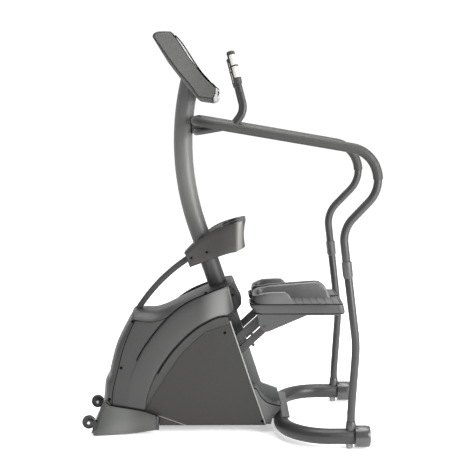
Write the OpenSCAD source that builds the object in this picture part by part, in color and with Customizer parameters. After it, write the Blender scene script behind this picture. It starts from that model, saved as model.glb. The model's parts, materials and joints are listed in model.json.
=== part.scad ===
// Stair climber with two independent pedals, handrails, console and a belt-driven generator.
// Millimetres, +Z up, +X towards the user's end, origin under the middle of the machine's box.

/* [Overall] */
// Distance between the two handrails, centre to centre
rail_span = 680; // [640:5:720]
// Outer diameter of the curved mast tube
mast_d = 82; // [70:1:84]
// Outer diameter of the rear floor tube
floor_tube_d = 66; // [60:1:72]
// Height of the floor tube's centre above the floor
floor_tube_z = 52; // [50:0.5:54]

/* [Pedals] */
// Length of each pedal arm between its pivots
arm_len = 420; // [400:5:430]
// Angle of the arms above level with the pedals up
arm_rest = 43; // [40:0.5:45]
// Height of the lower ground pivot
pivot_low_z = 188.5; // [175:0.5:195]
// Distance between the upper and lower pivots
pivot_gap = 65; // [60:1:70]
// Distance of each pedal's centre from the machine's centre plane
pedal_y = 100; // [96:1:110]
// Width of each pedal
pedal_w = 160; // [140:2:164]
// Height of the arm and link bars
arm_h = 30; // [24:1:32]
// Diameter of the pins and shafts the arms turn on
pin_d = 16; // [12:1:18]

/* [Handrails] */
// Outer diameter of the bare handrail tube
rail_d = 34; // [32:1:38]
// Outer diameter of the soft grip over the rail
grip_d = 42; // [38:1:46]
// Outer diameter of the pulse grip stems
stem_d = 25; // [18:1:28]

/* [Shroud] */
// Half the width of the shroud over its side covers
shroud_half = 150; // [146:1:155]
// Depth that the lower side panels are set back
panel_recess = 18; // [12:1:20]
// Wall thickness of the moulded covers
cover_t = 4; // [3:0.5:5]

/* [Drive] */
// Radius of the belt sector on each arm
sector_r = 100; // [90:1:105]
// Radius of the clutch hub that the return belt turns
hub_r = 28; // [24:1:32]
// Radius of the large drive pulley
pulley_r = 110; // [100:1:112]
// Radius of the small pulley on the flywheel shaft
small_pulley_r = 22; // [18:1:26]
// Radius of the flywheel
flywheel_r = 78; // [60:1:80]

/* [Wheels] */
// Diameter of the transport wheels
wheel_d = 60; // [50:1:60]
// Distance of each wheel from the centre plane
wheel_y = 156; // [150:1:156]

/* [Hidden] */
fit = 0.06;
gap = 0.4;
$fn = 48;

// Side of the machine: -1 is the user's left, 1 the user's right
left = -1;
right = 1;

// Pivots of the pedal linkage at rest, in the XZ plane
ground_up = [-132, pivot_low_z + pivot_gap];
ground_low = [-132, pivot_low_z];
arm_reach = arm_len * [cos(arm_rest), sin(arm_rest)];
pedal_up = ground_up + arm_reach;
pedal_low = ground_low + arm_reach;

// Drive centres in the XZ plane
hub_c = [-290, 385];
wheel_c = [-605, 58.7];
flywheel_c = [-410, 190];

// Mast: a straight inclined foot and one large bend
mast_path = [[-20.5, 0, 575.6], [-240.5, 0, 1211], [-156.5, 0, 1556]];
mast_bend = 1150;

// Handrail: from the left sleeve up, forward, round the front and back
rail_y = rail_span / 2;
rear_y = rail_y - 29.5;
rail_elbow = [472, -rail_y + 22, 923];
lower_knee = [532.5, -rail_y, 440];
joint_dir = unit(lower_knee - rail_elbow);
rail_joint = rail_elbow + 191.5 * joint_dir;
rail_half = [rail_joint, rail_elbow, [630.1, -rear_y, 1089.1], [586, -rear_y, 1241.8],
             [-130.2, -rail_y, 1364.5]];
rail_bend = [127, 129, 128, 90];
grip_turn = 15;

// Pulse grip stem: foot on the rail, bend, and top of the grip
stem_path = [[23, -rail_y + 6.4, 1338], [72, -rail_y + 5, 1405], [11, -rail_y + 50, 1643]];
pulse_len = 135;

// Side outline points that several covers share
band_low = [[36, 535], [1, 538], [-71, 505], [-124, 469], [-185, 425], [-266, 338],
            [-317, 256], [-348, 179], [-363, 101]];
shoulder = [[-398, 510], [-347, 502], [-304, 506], [-260, 524], [-214, 555],
            [-92, 615], [11, 656]];
hump = [[-416, 530], [-377, 532], [-323, 532], [-256, 555], [-177, 592], [-83, 633]];
nose = [[-416, 522], [-450, 468], [-485, 398], [-508, 330], [-524, 262], [-540, 219],
        [-548, 160], [-554, 112]];
seam = [[-398, 510], [-439, 423], [-476, 296], [-503, 183], [-505, 121]];

function unit(v) = v / norm(v);
function turn_between(u, w) = acos(min(1, max(-1, u * w)));
function reversed(list) = [for (i = [len(list) - 1:-1:0]) list[i]];
function mirrored(list) = [for (p = reversed(list)) [p[0], -p[1], p[2]]];
function lifted(list, dx, dz) = [for (p = list) [p[0] + dx, p[1] + dz]];

// Moves a closed outline's corners inward by d (outline given clockwise)
function inset_corner(a, b, c, d) =
    let (u = unit(b - a), w = unit(c - b), nu = [u[1], -u[0]], nw = [w[1], -w[0]])
    b + d * (nu + nw) / (1 + nu * nw);
function inset(list, d) = let (n = len(list))
    [for (i = [0:n - 1]) inset_corner(list[(i + n - 1) % n], list[i], list[(i + 1) % n], d)];

// Extrudes an XZ outline from y0 to y1
module slab(y0, y1) {
    translate([0, y1, 0]) rotate([90, 0, 0]) linear_extrude(y1 - y0) children();
}

// Round bar along Y at an XZ point
module cross_bar(c, y0, y1, d) {
    translate([c[0], y1, c[1]]) rotate([90, 0, 0]) cylinder(h = y1 - y0, d = d);
}

// Round bar from a to b
module bar(a, b, d) {
    v = b - a;
    translate(a)
        rotate([0, acos(v[2] / norm(v)), atan2(v[1], v[0])])
            cylinder(h = norm(v), d = d);
}

// Bent corner of a round bar at v, between directions u and w
module elbow(v, u, w, r, d) {
    phi = turn_between(u, w);
    n = unit(cross(u, w));
    m = cross(n, u);
    c = v - u * r * tan(phi / 2) + m * r;
    multmatrix([[-m[0], u[0], n[0], c[0]], [-m[1], u[1], n[1], c[1]],
                [-m[2], u[2], n[2], c[2]], [0, 0, 0, 1]])
        rotate_extrude(angle = phi) translate([r, 0]) circle(d = d);
}

// Round bar through the corners of a path, bent by radii r. The bends are
// slightly slimmer than the straight runs, as bending draws a tube in.
module bent_bar(path, r, d, over = 0) {
    n = len(path);
    lap = 0.1;
    draw_in = 1;
    dirs = [for (i = [0:n - 2]) unit(path[i + 1] - path[i])];
    cut = [for (i = [0:n - 1]) (i == 0 || i == n - 1) ? -over
        : r[i - 1] * tan(turn_between(dirs[i - 1], dirs[i]) / 2) - lap];
    for (i = [0:n - 2])
        if (norm(path[i + 1] - path[i]) - cut[i] - cut[i + 1] > 0.5)
            bar(path[i] + dirs[i] * cut[i], path[i + 1] - dirs[i] * cut[i + 1], d);
    for (i = [1:n - 2])
        elbow(path[i], dirs[i - 1], dirs[i], r[i - 1], d - draw_in);
}

// Hollow tube along the same kind of path
module bent_tube(path, r, od, id) {
    difference() {
        bent_bar(path, r, od);
        bent_bar(path, r, id, 1);
    }
}

module both_sides() {
    children();
    mirror([0, 1, 0]) children();
}

// ---------- Floor frame ----------

beam_half = 30;
stabiliser_c = [-505, 42];

module base_frame() color("dimgray") {
    difference() {
        union() {
            translate([-500, -beam_half, 45]) cube([701.6, 2 * beam_half, 48]);
            cross_bar(stabiliser_c, -140, 140, 60);
        }
        translate([-460, -beam_half + 3, 48]) cube([650, 2 * beam_half - 6, 42]);
        cross_bar(stabiliser_c, -137, 137, 54);
    }
}

post_side = [[-50, 560], [18, 584], [38, 533], [183, 93.4], [103, 93.4]];
post_plate = [[-69, 558.7], [17.5, 588.6], [20.1, 581.1], [-66.4, 551.1]];

module rear_post() color("darkgray") {
    difference() {
        slab(-25, 25) polygon(post_side);
        slab(-22, 22) polygon([[-42, 548], [10, 566], [34, 533], [178.5, 96.4], [107.5, 96.4]]);
    }
    slab(-45, 45) polygon(post_plate);
    // Gusset down to the cross plate on the floor tube
    slab(-12, 12) polygon([[150, 192], [158, 187], [222, 164], [240, 100], [240, 87.5],
                           [226, 87.5], [202, 93.4], [170, 93.4]]);
    translate([236, -190, 85.4]) cube([33, 380, 5.6]);
}

tube_end = 589;
floor_path = [[tube_end, -rail_y, floor_tube_z], [235, -rail_y, floor_tube_z],
              [235, rail_y, floor_tube_z], [tube_end, rail_y, floor_tube_z]];
floor_bend = 200;
rail_foot_x = 515;

module rear_floor_tube() color("dimgray") {
    difference() {
        union() {
            bent_bar(floor_path, [floor_bend, floor_bend], floor_tube_d);
            both_sides() translate([rail_foot_x, -rail_y, 60]) cylinder(h = 58, d = rail_d + 5);
        }
        bent_bar(floor_path, [floor_bend, floor_bend], floor_tube_d - 6, 1);
        both_sides() translate([rail_foot_x, -rail_y, 84]) cylinder(h = 60, d = rail_d + 2 * fit);
    }
}

cap_start = 531;
cap_end = 596;
cap_d = 92;

module rear_end_caps() color("black") both_sides() {
    difference() {
        translate([cap_start, -rail_y, floor_tube_z]) rotate([0, 90, 0])
            cylinder(h = cap_end - cap_start, d = cap_d);
        translate([cap_start - 1, -rail_y, floor_tube_z]) rotate([0, 90, 0])
            cylinder(h = tube_end - cap_start + 1.4, d = floor_tube_d + 2 * fit);
        translate([rail_foot_x, -rail_y, floor_tube_z])
            cylinder(h = 60, d = rail_d + 5 + 2 * gap);
    }
}

module rubber_feet() color("black") {
    both_sides() {
        difference() {
            translate([rail_foot_x - 5, -rail_y, 0]) cylinder(h = 24, d = 28);
            translate([460, -rail_y, floor_tube_z]) rotate([0, 90, 0])
                cylinder(h = 100, d = floor_tube_d + 2 * fit);
        }
        difference() {
            translate([stabiliser_c[0], -115, 0]) cylinder(h = 22, d = 40);
            cross_bar(stabiliser_c, -150, -90, 60 + 2 * fit);
        }
    }
}

// ---------- Front foot and transport wheels ----------

foot_half = 176;

deck_line = [[-541, 146], [-514, 119], [-366, 99], [-303, 76]];
foot_side = concat(deck_line, [[-299, 47], [-306, 20], [-407, 6], [-584, 2], [-594, 22]]);

module front_foot_cover() color("dimgray") {
    // Sloping deck beside the shroud
    both_sides() slab(-foot_half + 3, -154.6)
        polygon(concat(deck_line, reversed(lifted(deck_line, 0, -5))));
    difference() {
        union() {
            slab(-foot_half, foot_half) polygon(foot_side);
            slab(-112, 112) polygon([[-556, 112], [-541, 112], [-570, 10], [-604, 10],
                                     [-602, 24]]);
        }
        slab(-foot_half + 4, foot_half - 4)
            polygon([[-535, 160], [-500, 160], [-300, 160], [-240, 90], [-240, -5],
                     [-577, -5], [-586, 24]]);
        slab(-60, 60) polygon([[-400, 160], [-200, 160], [-200, -5], [-400, -5]]);
        // Step under the front cover, and windows for the wheels
        slab(-146, 146) polygon([[-580, 111.6], [-300, 111.6], [-300, 170], [-580, 170]]);
        both_sides() slab(-wheel_y - 15.5, -wheel_y + 15.5)
            polygon([[-640, 16], [-560, 16], [-560, 82], [-640, 96]]);
    }
}

module wheel_brackets() color("black") both_sides() {
    for (side = [-1, 1])
        slab(-wheel_y + side * 13 - 1.5, -wheel_y + side * 13 + 1.5)
            polygon([[-618, 50], [-611, 72], [-598, 72], [-568, 60], [-568, 24], [-574, 24],
                     [-592, 44]]);
    cross_bar(wheel_c, -wheel_y - 15, -wheel_y + 15, 8);
    translate([-573.5, -wheel_y - 14.5, 24]) cube([5, 29, 36]);
    // Tongue back to the stabiliser tube
    translate([-569, -wheel_y + 11.5, 34]) cube([33.6, 20, 5]);
}

module wheel(side) color("black") {
    difference() {
        union() {
            cross_bar(wheel_c, side * wheel_y - 9, side * wheel_y + 9, wheel_d);
            cross_bar(wheel_c, side * wheel_y - 11, side * wheel_y + 11, 22);
        }
        cross_bar(wheel_c, side * wheel_y - 20, side * wheel_y + 20, 8 + 2 * fit);
        for (edge = [-1, 1])
            translate([wheel_c[0], side * wheel_y + edge * 9.2, wheel_c[1]])
                rotate([90, 0, 0]) difference() {
                    cylinder(h = 6, d = wheel_d - 14, center = true);
                    cylinder(h = 8, d = 24, center = true);
                }
    }
}

// ---------- Drive ----------

plate_out = beam_half + 8;

module drive_frame() color("dimgray") difference() {
    both_sides() slab(-plate_out, -beam_half)
        polygon([[-460, 50], [-460, 215], [-370, 215], [-360, 95], [-330, 95], [-330, 425],
                 [-250, 425], [-245, 95], [-168, 95], [-168, 285], [-96, 285], [-90, 50]]);
    cross_bar(hub_c, -50, 50, 42);
    cross_bar(flywheel_c, -50, 50, 32);
    cross_bar(ground_up, -50, 50, 28);
    cross_bar(ground_low, -50, 50, 28);
}

module bearing(c, od, id) both_sides() difference() {
    cross_bar(c, -plate_out - 2, -beam_half + 2, od);
    cross_bar(c, -plate_out - 3, -beam_half + 3, id);
}

module shaft_bearings() color("silver") {
    bearing(hub_c, 42, 20 + 2 * fit);
    bearing(flywheel_c, 32, 15 + 2 * fit);
    bearing(ground_up, 28, pin_d);
    bearing(ground_low, 28, pin_d);
}

module grooved_pulley(c, r, w) difference() {
    union() {
        cross_bar(c, -w / 2 + 2, w / 2 - 2, 2 * r);
        for (side = [-1, 1]) cross_bar(c, side * (w / 2 - 1) - 1, side * (w / 2 - 1) + 1, 2 * r + 6);
    }
    children();
}

module drive_pulley() color("gray") {
    grooved_pulley(hub_c, pulley_r, 20)
        for (a = [0:60:300]) cross_bar(hub_c + 66 * [cos(a), sin(a)], -20, 20, 44);
    cross_bar(hub_c, -125, -10 + 0.01, 20);
    cross_bar(hub_c, 10 - 0.01, 125, 20);
}

// Closed belt round two pulleys, as an outline of belt thickness t
module belt_outline(c1, r1, c2, r2, t) difference() {
    open_belt(c1, r1 + t, c2, r2 + t);
    open_belt(c1, r1, c2, r2);
}

// Filled outline of two circles joined by their outer tangents
module open_belt(c1, r1, c2, r2) {
    v = c2 - c1;
    base = atan2(v[1], v[0]);
    side = acos((r1 - r2) / norm(v));
    polygon(concat(
        [for (a = [base + side:5:base + 360 - side]) c1 + r1 * [cos(a), sin(a)]],
        [c1 + r1 * [cos(base - side), sin(base - side)]],
        [for (a = [base - side:10:base + side]) c2 + r2 * [cos(a), sin(a)]],
        [c2 + r2 * [cos(base + side), sin(base + side)]]));
}

module drive_belt() color("black")
    slab(-7, 7) belt_outline(hub_c, pulley_r + 0.5, flywheel_c, small_pulley_r + 0.5, 2);

module flywheel() color("gray") {
    difference() {
        cross_bar(flywheel_c, -74, -46, 2 * flywheel_r);
        translate([flywheel_c[0], -70, flywheel_c[1]]) rotate([90, 0, 0]) difference() {
            cylinder(h = 20, d = 2 * flywheel_r - 30);
            translate([0, 0, -1]) cylinder(h = 22, d = 40);
        }
    }
    grooved_pulley(flywheel_c, small_pulley_r, 20);
    cross_bar(flywheel_c, -46.01, -9.99, 15);
    cross_bar(flywheel_c, 9.99, 108, 15);
}

module generator() color("silver") difference() {
    union() {
        cross_bar(flywheel_c, 42, 104, 124);
        cross_bar(flywheel_c, 38.2, 42.01, 70);
    }
    cross_bar(flywheel_c, 30, 110, 15 + 0.8);
    cross_bar(flywheel_c, 30, 40.4, 34);
    for (a = [0:30:330]) cross_bar(flywheel_c + 46 * [cos(a), sin(a)], 96, 110, 12);
}

module pivot_shafts() color("silver") {
    for (c = [ground_up, ground_low]) cross_bar(c, -118, 118, pin_d);
}

module clutch_hub(side) color("silver") difference() {
    union() {
        cross_bar(hub_c, side * pedal_y - 8, side * pedal_y + 8, 2 * hub_r);
        for (edge = [-1, 1])
            cross_bar(hub_c, side * pedal_y + edge * 10 - 2, side * pedal_y + edge * 10 + 2,
                      2 * hub_r + 16);
    }
    cross_bar(hub_c, side * pedal_y - 20, side * pedal_y + 20, 20 + 2 * fit);
}

// Return belt: wrapped on the arm's sector, straight to the hub, wound on the hub
module return_belt(side) color("black") {
    t = 3;
    v = hub_c - ground_up;
    a1 = atan2(v[1], v[0]) - acos((sector_r - hub_r) / norm(v));
    r1 = sector_r + gap;
    r2 = hub_r + gap;
    inner = concat([for (a = [a1 - 8:2:a1]) ground_up + r1 * [cos(a), sin(a)]],
                   [for (a = [a1:6:a1 + 270]) hub_c + r2 * [cos(a), sin(a)]]);
    outer = concat([for (a = [a1 - 8:2:a1]) ground_up + (r1 + t) * [cos(a), sin(a)]],
                   [for (a = [a1:6:a1 + 270]) hub_c + (r2 + t) * [cos(a), sin(a)]]);
    slab(side * pedal_y - 7, side * pedal_y + 7) polygon(concat(inner, reversed(outer)));
}

// ---------- Pedal linkage ----------

// Bar between two XZ points with round ends, h high
module link_bar(a, b, y0, y1, h) {
    v = b - a;
    slab(y0, y1) translate(a) rotate(atan2(v[1], v[0]))
        translate([0, -h / 2]) square([norm(v), h]);
    cross_bar(a, y0, y1, h);
    cross_bar(b, y0, y1, h);
}

module upper_arm(side) color("dimgray") {
    y0 = side * pedal_y - 10;
    y1 = side * pedal_y + 10;
    difference() {
        union() {
            link_bar(ground_up, pedal_up, y0, y1, arm_h);
            slab(side * pedal_y - 7, side * pedal_y + 7)
                polygon(concat([ground_up], [for (a = [52:4:120])
                    ground_up + sector_r * [cos(a), sin(a)]]));
        }
        cross_bar(ground_up, y0 - 1, y1 + 1, pin_d + 2 * fit);
        cross_bar(pedal_up, y0 - 1, y1 + 1, pin_d + 2 * fit);
        slab(y0 - 1, y1 + 1) polygon([for (a = [72:6:108])
            ground_up + 55 * [cos(a), sin(a)], for (a = [108:-6:72])
            ground_up + 84 * [cos(a), sin(a)]]);
    }
}

module lower_link(side) color("dimgray") {
    y0 = side * pedal_y - 10;
    y1 = side * pedal_y + 10;
    stop = pedal_low - 106 * unit(arm_reach);
    difference() {
        union() {
            link_bar(ground_low, pedal_low, y0, y1, arm_h);
            slab(side * pedal_y - 6, side * pedal_y + 6) translate(stop)
                rotate(arm_rest) translate([-6, -27]) square([12, 16]);
        }
        cross_bar(ground_low, y0 - 1, y1 + 1, pin_d + 2 * fit);
        cross_bar(pedal_low, y0 - 1, y1 + 1, pin_d + 2 * fit);
    }
}

deck_z = 583;

module pedal_bracket(side) color("silver") {
    y = side * pedal_y;
    for (edge = [-1, 1])
        slab(y + edge * 15 - 3, y + edge * 15 + 3)
            polygon([[158, 460], [151, 480], [148, deck_z - 6.4], [330, deck_z - 6.4], [330, 556],
                     [205, 540], [194, 460]]);
    translate([148, y - 18, deck_z - 11]) cube([182, 36, 4.6]);
    for (c = [pedal_up, pedal_low]) cross_bar(c, y - 22, y + 22, pin_d);
}

pedal_side = [[94, 601], [110, deck_z + 20], [160, deck_z], [495, deck_z], [506, 547], [456, 538],
              [336, 533], [174, 461], [153, 463], [134, 496], [128, 535], [111, 550],
              [94, 570]];

module pedal(side) color("dimgray") {
    inner = side * (pedal_y - pedal_w / 2);
    outer = side * (pedal_y + pedal_w / 2);
    lo = min(inner, outer);
    hi = max(inner, outer);
    difference() {
        slab(lo, hi) polygon(pedal_side);
        slab(lo + cover_t, hi - cover_t)
            polygon([[99, 560], [99, 577], [491, 577], [501, 545], [501, 440], [60, 440],
                     [60, 520], [112, 556]]);
        slab(lo + 12, hi - 12)
            polygon([[106, 577.1], [106, 640], [160, 640], [160, 577.1]]);
    }
    slab(min(inner, inner + side * 6), max(inner, inner + side * 6))
        polygon([[94, 601], [112, 616], [173, 635], [393, 652], [415, 644], [436, 626],
                 [454, deck_z - 3], [100, deck_z - 3]]);
    slab(min(outer, outer - side * 6), max(outer, outer - side * 6))
        polygon([[94, 601], [112, 618], [155, 631], [245, 634], [260, 625],
                 [284, deck_z - 3], [100, deck_z - 3]]);
    slab(lo, hi) polygon([[94, 575], [94, 601], [108, 620], [115, 620], [101, 599], [101, 575]]);
}

module pedal_mat(side) color("black") {
    y0 = side * pedal_y - pedal_w / 2 + 12;
    for (i = [0:8])
        translate([172 + 34 * i, y0, deck_z]) cube([30, pedal_w - 24, 3]);
    translate([166, y0 + 1, deck_z]) cube([318, pedal_w - 26, 1.5]);
}

// ---------- Shroud ----------

module plate_between(list, side, y_out, t) {
    slab(min(side * y_out, side * (y_out - t)), max(side * y_out, side * (y_out - t)))
        polygon(list);
}

module side_cover(side) color("dimgray") {
    outline = concat(seam, [[-366, 103]], reversed(band_low), [[58, 555], [29, 650]],
                     reversed(shoulder));
    band = concat(reversed(band_low), [[58, 555], [29, 650], [11, 656], [-92, 615],
                  [-213, 560], [-325, 425], [-401, 307], [-430, 225], [-445, 112]]);
    plate_between(outline, side, shroud_half, cover_t);
    plate_between(band, side, shroud_half + 4, cover_t + 0.01);
    // Step down to the recessed lower panel
    rim = concat(band_low, reversed(lifted(band_low, -4.5, 4.5)));
    plate_between(rim, side, shroud_half, panel_recess - 0.4);
    // Rear corner and inner rims
    plate_between([[27, 650], [58, 555], [36, 535], [30, 541], [50, 556], [21, 648]],
                  side, shroud_half, 42);
}

module lower_panel(side) color("dimgray") {
    rear = [[8, 512], [96, 244], [167, 34], [-300, 34]];
    outline = concat(rear, [[-363, 101]], reversed([for (i = [0:7]) band_low[i]]));
    plate_between(outline, side, shroud_half - panel_recess, cover_t);
}

module top_cover() color("dimgray") {
    difference() {
        union() {
            slab(-62, 62) polygon(concat(hump, [[-60, 641], [7, 664], [26, 650]],
                reversed(lifted(shoulder, 0, -4)), [[-409.5, 524.5]]));
            slab(-shroud_half + 4.4, shroud_half - 4.4)
                polygon(concat(shoulder, reversed(lifted(shoulder, 0.5, -5))));
            slab(-108, 108) polygon([[7, 664], [27, 651], [58, 555], [36, 535], [31, 538],
                                     [52, 556], [22, 647], [4, 658]]);
        }
        slab(-58, 58) polygon(concat(lifted(hump, 3, -5), [[-40, 642], [16, 648]],
            reversed(lifted(shoulder, 6, -12)), [[-404, 500]]));
        bar(mast_path[0], mast_path[1], mast_d + 3);
        translate([-420, -21, 500]) cube([46, 42, 60]);
        translate([-80, -26, 500]) cube([124, 52, 62]);
    }
}

module front_cover() color("dimgray") difference() {
    front_shell();
    // Room for the top cover's shoulders
    both_sides() slab(-150, -62.3) polygon([[-430, 504.6], [-397, 504.6], [-346, 496.6],
                                            [-300, 496.6], [-300, 560], [-430, 560]]);
}

module front_shell() {
    slab(-104, 104) polygon(concat(nose, reversed(lifted(nose, 5, 0))));
    both_sides() for (i = [0:len(nose) - 2]) {
        strip = [nose[i], nose[i + 1], nose[i + 1] + [5, 0], nose[i] + [5, 0]];
        hull() {
            slab(-104.1, -104) polygon(strip);
            slab(-145, -144.9) polygon(lifted(strip, 34, 0));
        }
    }
}

module rear_lower_cover() color("darkgray") {
    ramp = [[114, 197], [128, 191], [141, 166], [163, 139], [194, 124], [232, 116]];
    foot_end = [[232, 108], [196, 60], [190, 36], [150, 36]];
    both_sides() {
        slab(-126, -28) polygon(concat(ramp, reversed(lifted(ramp, -1, -5))));
        slab(-126, -122) polygon(concat(ramp, foot_end, [[112, 180]]));
    }
}

screw_sites = [[-406, 503], [-246, 527], [-92, 617], [31, 618], [-462, 295], [-516, 154]];
panel_screws = [[-12, 448], [150, 52]];

module cover_screws() color("black") both_sides() {
    for (c = screw_sites) cross_bar(c, -shroud_half - 4 - 2.4, -shroud_half - 4, 11);
    for (c = panel_screws)
        cross_bar(c, -shroud_half + panel_recess - 2.4, -shroud_half + panel_recess, 11);
}

// ---------- Mast, brace and bottle holder ----------

console_back_a = [-244, 1601];
console_back_b = [-132, 1462];

// Half space behind the console's back face, as a big slab
module console_space() {
    v = unit(console_back_b - console_back_a);
    n = [-v[1], v[0]];
    far = 400;
    slab(-100, 100) polygon([console_back_a - far * v, console_back_b + 100 * v,
        console_back_b + 100 * v + far * n, console_back_a - far * v + far * n]);
}

module mast() color("dimgray") difference() {
    bent_tube(mast_path, [mast_bend], mast_d, mast_d - 6, $fn = 200);
    console_space();
}

brace_c = [239, 128];
brace_r = 753;

module front_brace() color("dimgray")
    translate([brace_c[0], 0, brace_c[1]]) rotate([90, 0, 0])
        rotate_extrude(angle = 23.2, start = 124.4, $fn = 180)
            translate([brace_r, 0]) square([25, 40], center = true);

holder_side = [[-191, 777], [-140, 831], [-78, 881], [-45, 898], [9, 918], [66, 934], [78, 937],
               [74, 904], [73, 855], [78, 815], [62, 803], [26, 795], [-3, 788], [-38, 776],
               [-109, 744], [-168, 712]];
holder_plan = [[-195, -48], [-150, -52], [-110, -62], [-70, -80], [-30, -97], [0, -104], [35, -104],
               [60, -97], [75, -80], [82, -50], [82, 50], [75, 80], [60, 97], [35, 104],
               [0, 104], [-30, 97], [-70, 80], [-110, 62], [-150, 52], [-195, 48]];
pocket_c = [16, 50];
pocket_d = 76;

// Space between the holder's side and plan outlines, both drawn in by t
module holder_block(t) intersection() {
    slab(-120, 120) polygon(inset(holder_side, t));
    translate([0, 0, 600]) linear_extrude(400) polygon(inset(holder_plan, -t));
}

module holder_shell() difference() {
    holder_block(0);
    difference() {
        holder_block(4);
        both_sides() translate([pocket_c[0], -pocket_c[1], 790])
            cylinder(h = 160, d = pocket_d + 6);
        bar(mast_path[0], mast_path[1], mast_d + 9);
        slab(-8, 8) polygon(holder_side);
    }
    both_sides() translate([pocket_c[0], -pocket_c[1], 808]) cylinder(h = 160, d = pocket_d);
    bar(mast_path[0], mast_path[1], mast_d + 2 * gap);
    translate([-260, -20.4, 660]) cube([84, 40.8, 130]);
}

module holder_half(side) color("dimgray") intersection() {
    holder_shell();
    translate([-300, side < 0 ? -200 : 0.15, 600]) cube([500, 199.85, 500]);
}

// ---------- Handrails ----------

rail_full = concat(rail_half, mirrored(rail_half));
rail_bends = concat(rail_bend, reversed(rail_bend));

module handrail() color("dimgray") bent_tube(rail_full, rail_bends, rail_d, rail_d - 5);

brace_z = 1319;

module handrail_brace() color("dimgray") difference() {
    bent_tube([[0, -rail_y + 5.4, 1342], [-128, -rail_y + 36, brace_z],
               [-128, rail_y - 36, brace_z], [0, rail_y - 5.4, 1342]], [60, 60], 28, 23);
    both_sides() bent_bar([rail_half[3], rail_half[4], [-130.2, -70, 1364.5]], [rail_bend[3]],
                          grip_d + 2 * gap + 1);
}

module bar_clamp() color("gray") difference() {
    union() {
        translate([-153, -32, 1307]) cube([51, 64, 69]);
        translate([-176, 0, 1343]) rotate([0, 90, 0]) cylinder(h = 40, d = 30);
    }
    cross_bar([rail_half[4][0], rail_half[4][2]], -40, 40, rail_d + 2 * fit);
    cross_bar([-128, brace_z], -40, 40, 28 + 2 * fit);
    bent_bar(mast_path, [mast_bend], mast_d + 2 * fit, $fn = 200);
    translate([-101, 0, 1343]) rotate([0, -90, 0]) cylinder(h = 6, d = 20);
}

// The grip follows the rail to part way round its rear upper bend
module handrail_grips() color("black") both_sides() {
    down = unit(rail_half[2] - rail_half[3]);
    back = unit(rail_half[1] - rail_half[2]);
    cut = rail_bend[1] * tan(turn_between(down, back) / 2);
    part = rail_bend[1] * tan(grip_turn / 2);
    knee = rail_half[2] - down * (cut - part);
    side = unit(back - down * (back * down));
    tip = knee + part * (down * cos(grip_turn) + side * sin(grip_turn));
    bent_tube([[-130.2, -70, 1364.5], rail_half[4], rail_half[3], knee, tip],
              [rail_bend[3], rail_bend[2], rail_bend[1]], grip_d, rail_d + 2 * fit);
}

stem_dir = unit(stem_path[2] - stem_path[1]);
pulse_foot = stem_path[2] - pulse_len * stem_dir;

module pulse_stems() color("dimgray") both_sides() {
    foot = stem_path[0];
    rise = unit(stem_path[1] - foot);
    // The tube and the solid saddle under it are shaped to the grip
    difference() {
        union() {
            bent_tube([foot + 24 * rise, stem_path[1], pulse_foot + 60 * stem_dir], [72],
                      stem_d, stem_d - 5);
            bar(foot, foot + 30 * rise, stem_d + 4);
        }
        bar(rail_half[3], rail_half[4], grip_d + 2 * gap);
    }
}

plate_stations = [[23, 45], [75, 42]];

// Places children with +Z along the stem's top and +X towards the user
module at_pulse_grip() translate(pulse_foot)
    rotate([0, acos(stem_dir[2]), atan2(stem_dir[1], stem_dir[0])])
        rotate([0, 0, 180 - atan2(stem_dir[1], stem_dir[0])]) children();

module pulse_grips() color("black") both_sides() at_pulse_grip() difference() {
    union() {
        cylinder(h = pulse_len - 8, d = 34);
        translate([0, 0, pulse_len - 8]) cylinder(h = 8, d1 = 34, d2 = 26);
    }
    translate([0, 0, -1]) cylinder(h = 62, d = stem_d + 2 * fit);
    for (s = plate_stations)
        translate([0, 0, s[0]]) rotate_extrude(angle = 210, start = -105)
            translate([15, 0]) square([3, s[1]]);
}

module sensor_plates() color("silver") both_sides() at_pulse_grip()
    for (s = plate_stations)
        translate([0, 0, s[0] + 0.3]) rotate_extrude(angle = 206, start = -103)
            translate([15.1, 0]) square([1.9, s[1] - 0.6]);

module rail_sleeves() color("gray") both_sides() {
    difference() {
        union() {
            bar(rail_joint - 56 * joint_dir, rail_joint + 4 * joint_dir, rail_d + 8);
            translate(rail_joint + 3 * joint_dir)
                rotate([0, acos(joint_dir[2]), atan2(joint_dir[1], joint_dir[0])])
                    cylinder(h = 10, d1 = rail_d + 7.9, d2 = rail_d + 2);
        }
        bar(rail_joint - 60 * joint_dir, rail_joint + 20 * joint_dir, rail_d + 2 * fit);
    }
}

module lower_rails() color("dimgray") both_sides()
    bent_tube([rail_joint + gap * joint_dir, lower_knee, [rail_foot_x, -rail_y, 150],
               [rail_foot_x, -rail_y, 85]], [500, 200], rail_d, rail_d - 5);

// ---------- Console ----------

console_half = 215;
glass_out = [[-212, 1714], [-183, 1681], [-129, 1599], [-81, 1535], [-33, 1493]];
face_n = unit([221, 179]);
glass_t = 6;
glass_in = lifted(glass_out, -glass_t * face_n[0], -glass_t * face_n[1]);
back_line = [[-300, 1690], [-250, 1620], [-206, 1562], [-160, 1507], [-124, 1460], [-112, 1446]];
console_rim = [[-308, 1706], [-305, 1719], [-290, 1727], [-262, 1730], [-232, 1729]];
console_toe = [[-31, 1484], [-33, 1460], [-38, 1449], [-48, 1440], [-62, 1436]];
housing_outline = concat(console_rim, glass_in, console_toe, reversed(back_line));

key_c = [-60, 1516];
key_n = unit([42, 48]);
key_step = 44;

// Round key pocket or key, h along the face normal, at the i-th place
module key_bar(i, z0, h, d) {
    translate([key_c[0] + z0 * key_n[0], key_step * (i - 1.5), key_c[1] + z0 * key_n[1]])
        rotate([0, 90 - atan2(key_n[1], key_n[0]), 0]) cylinder(h = h, d = d);
}

module console_housing() color("gray") difference() {
    slab(-console_half, console_half) polygon(housing_outline);
    slab(-console_half + 5, console_half - 5) polygon(inset(housing_outline, 5));
}

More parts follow.
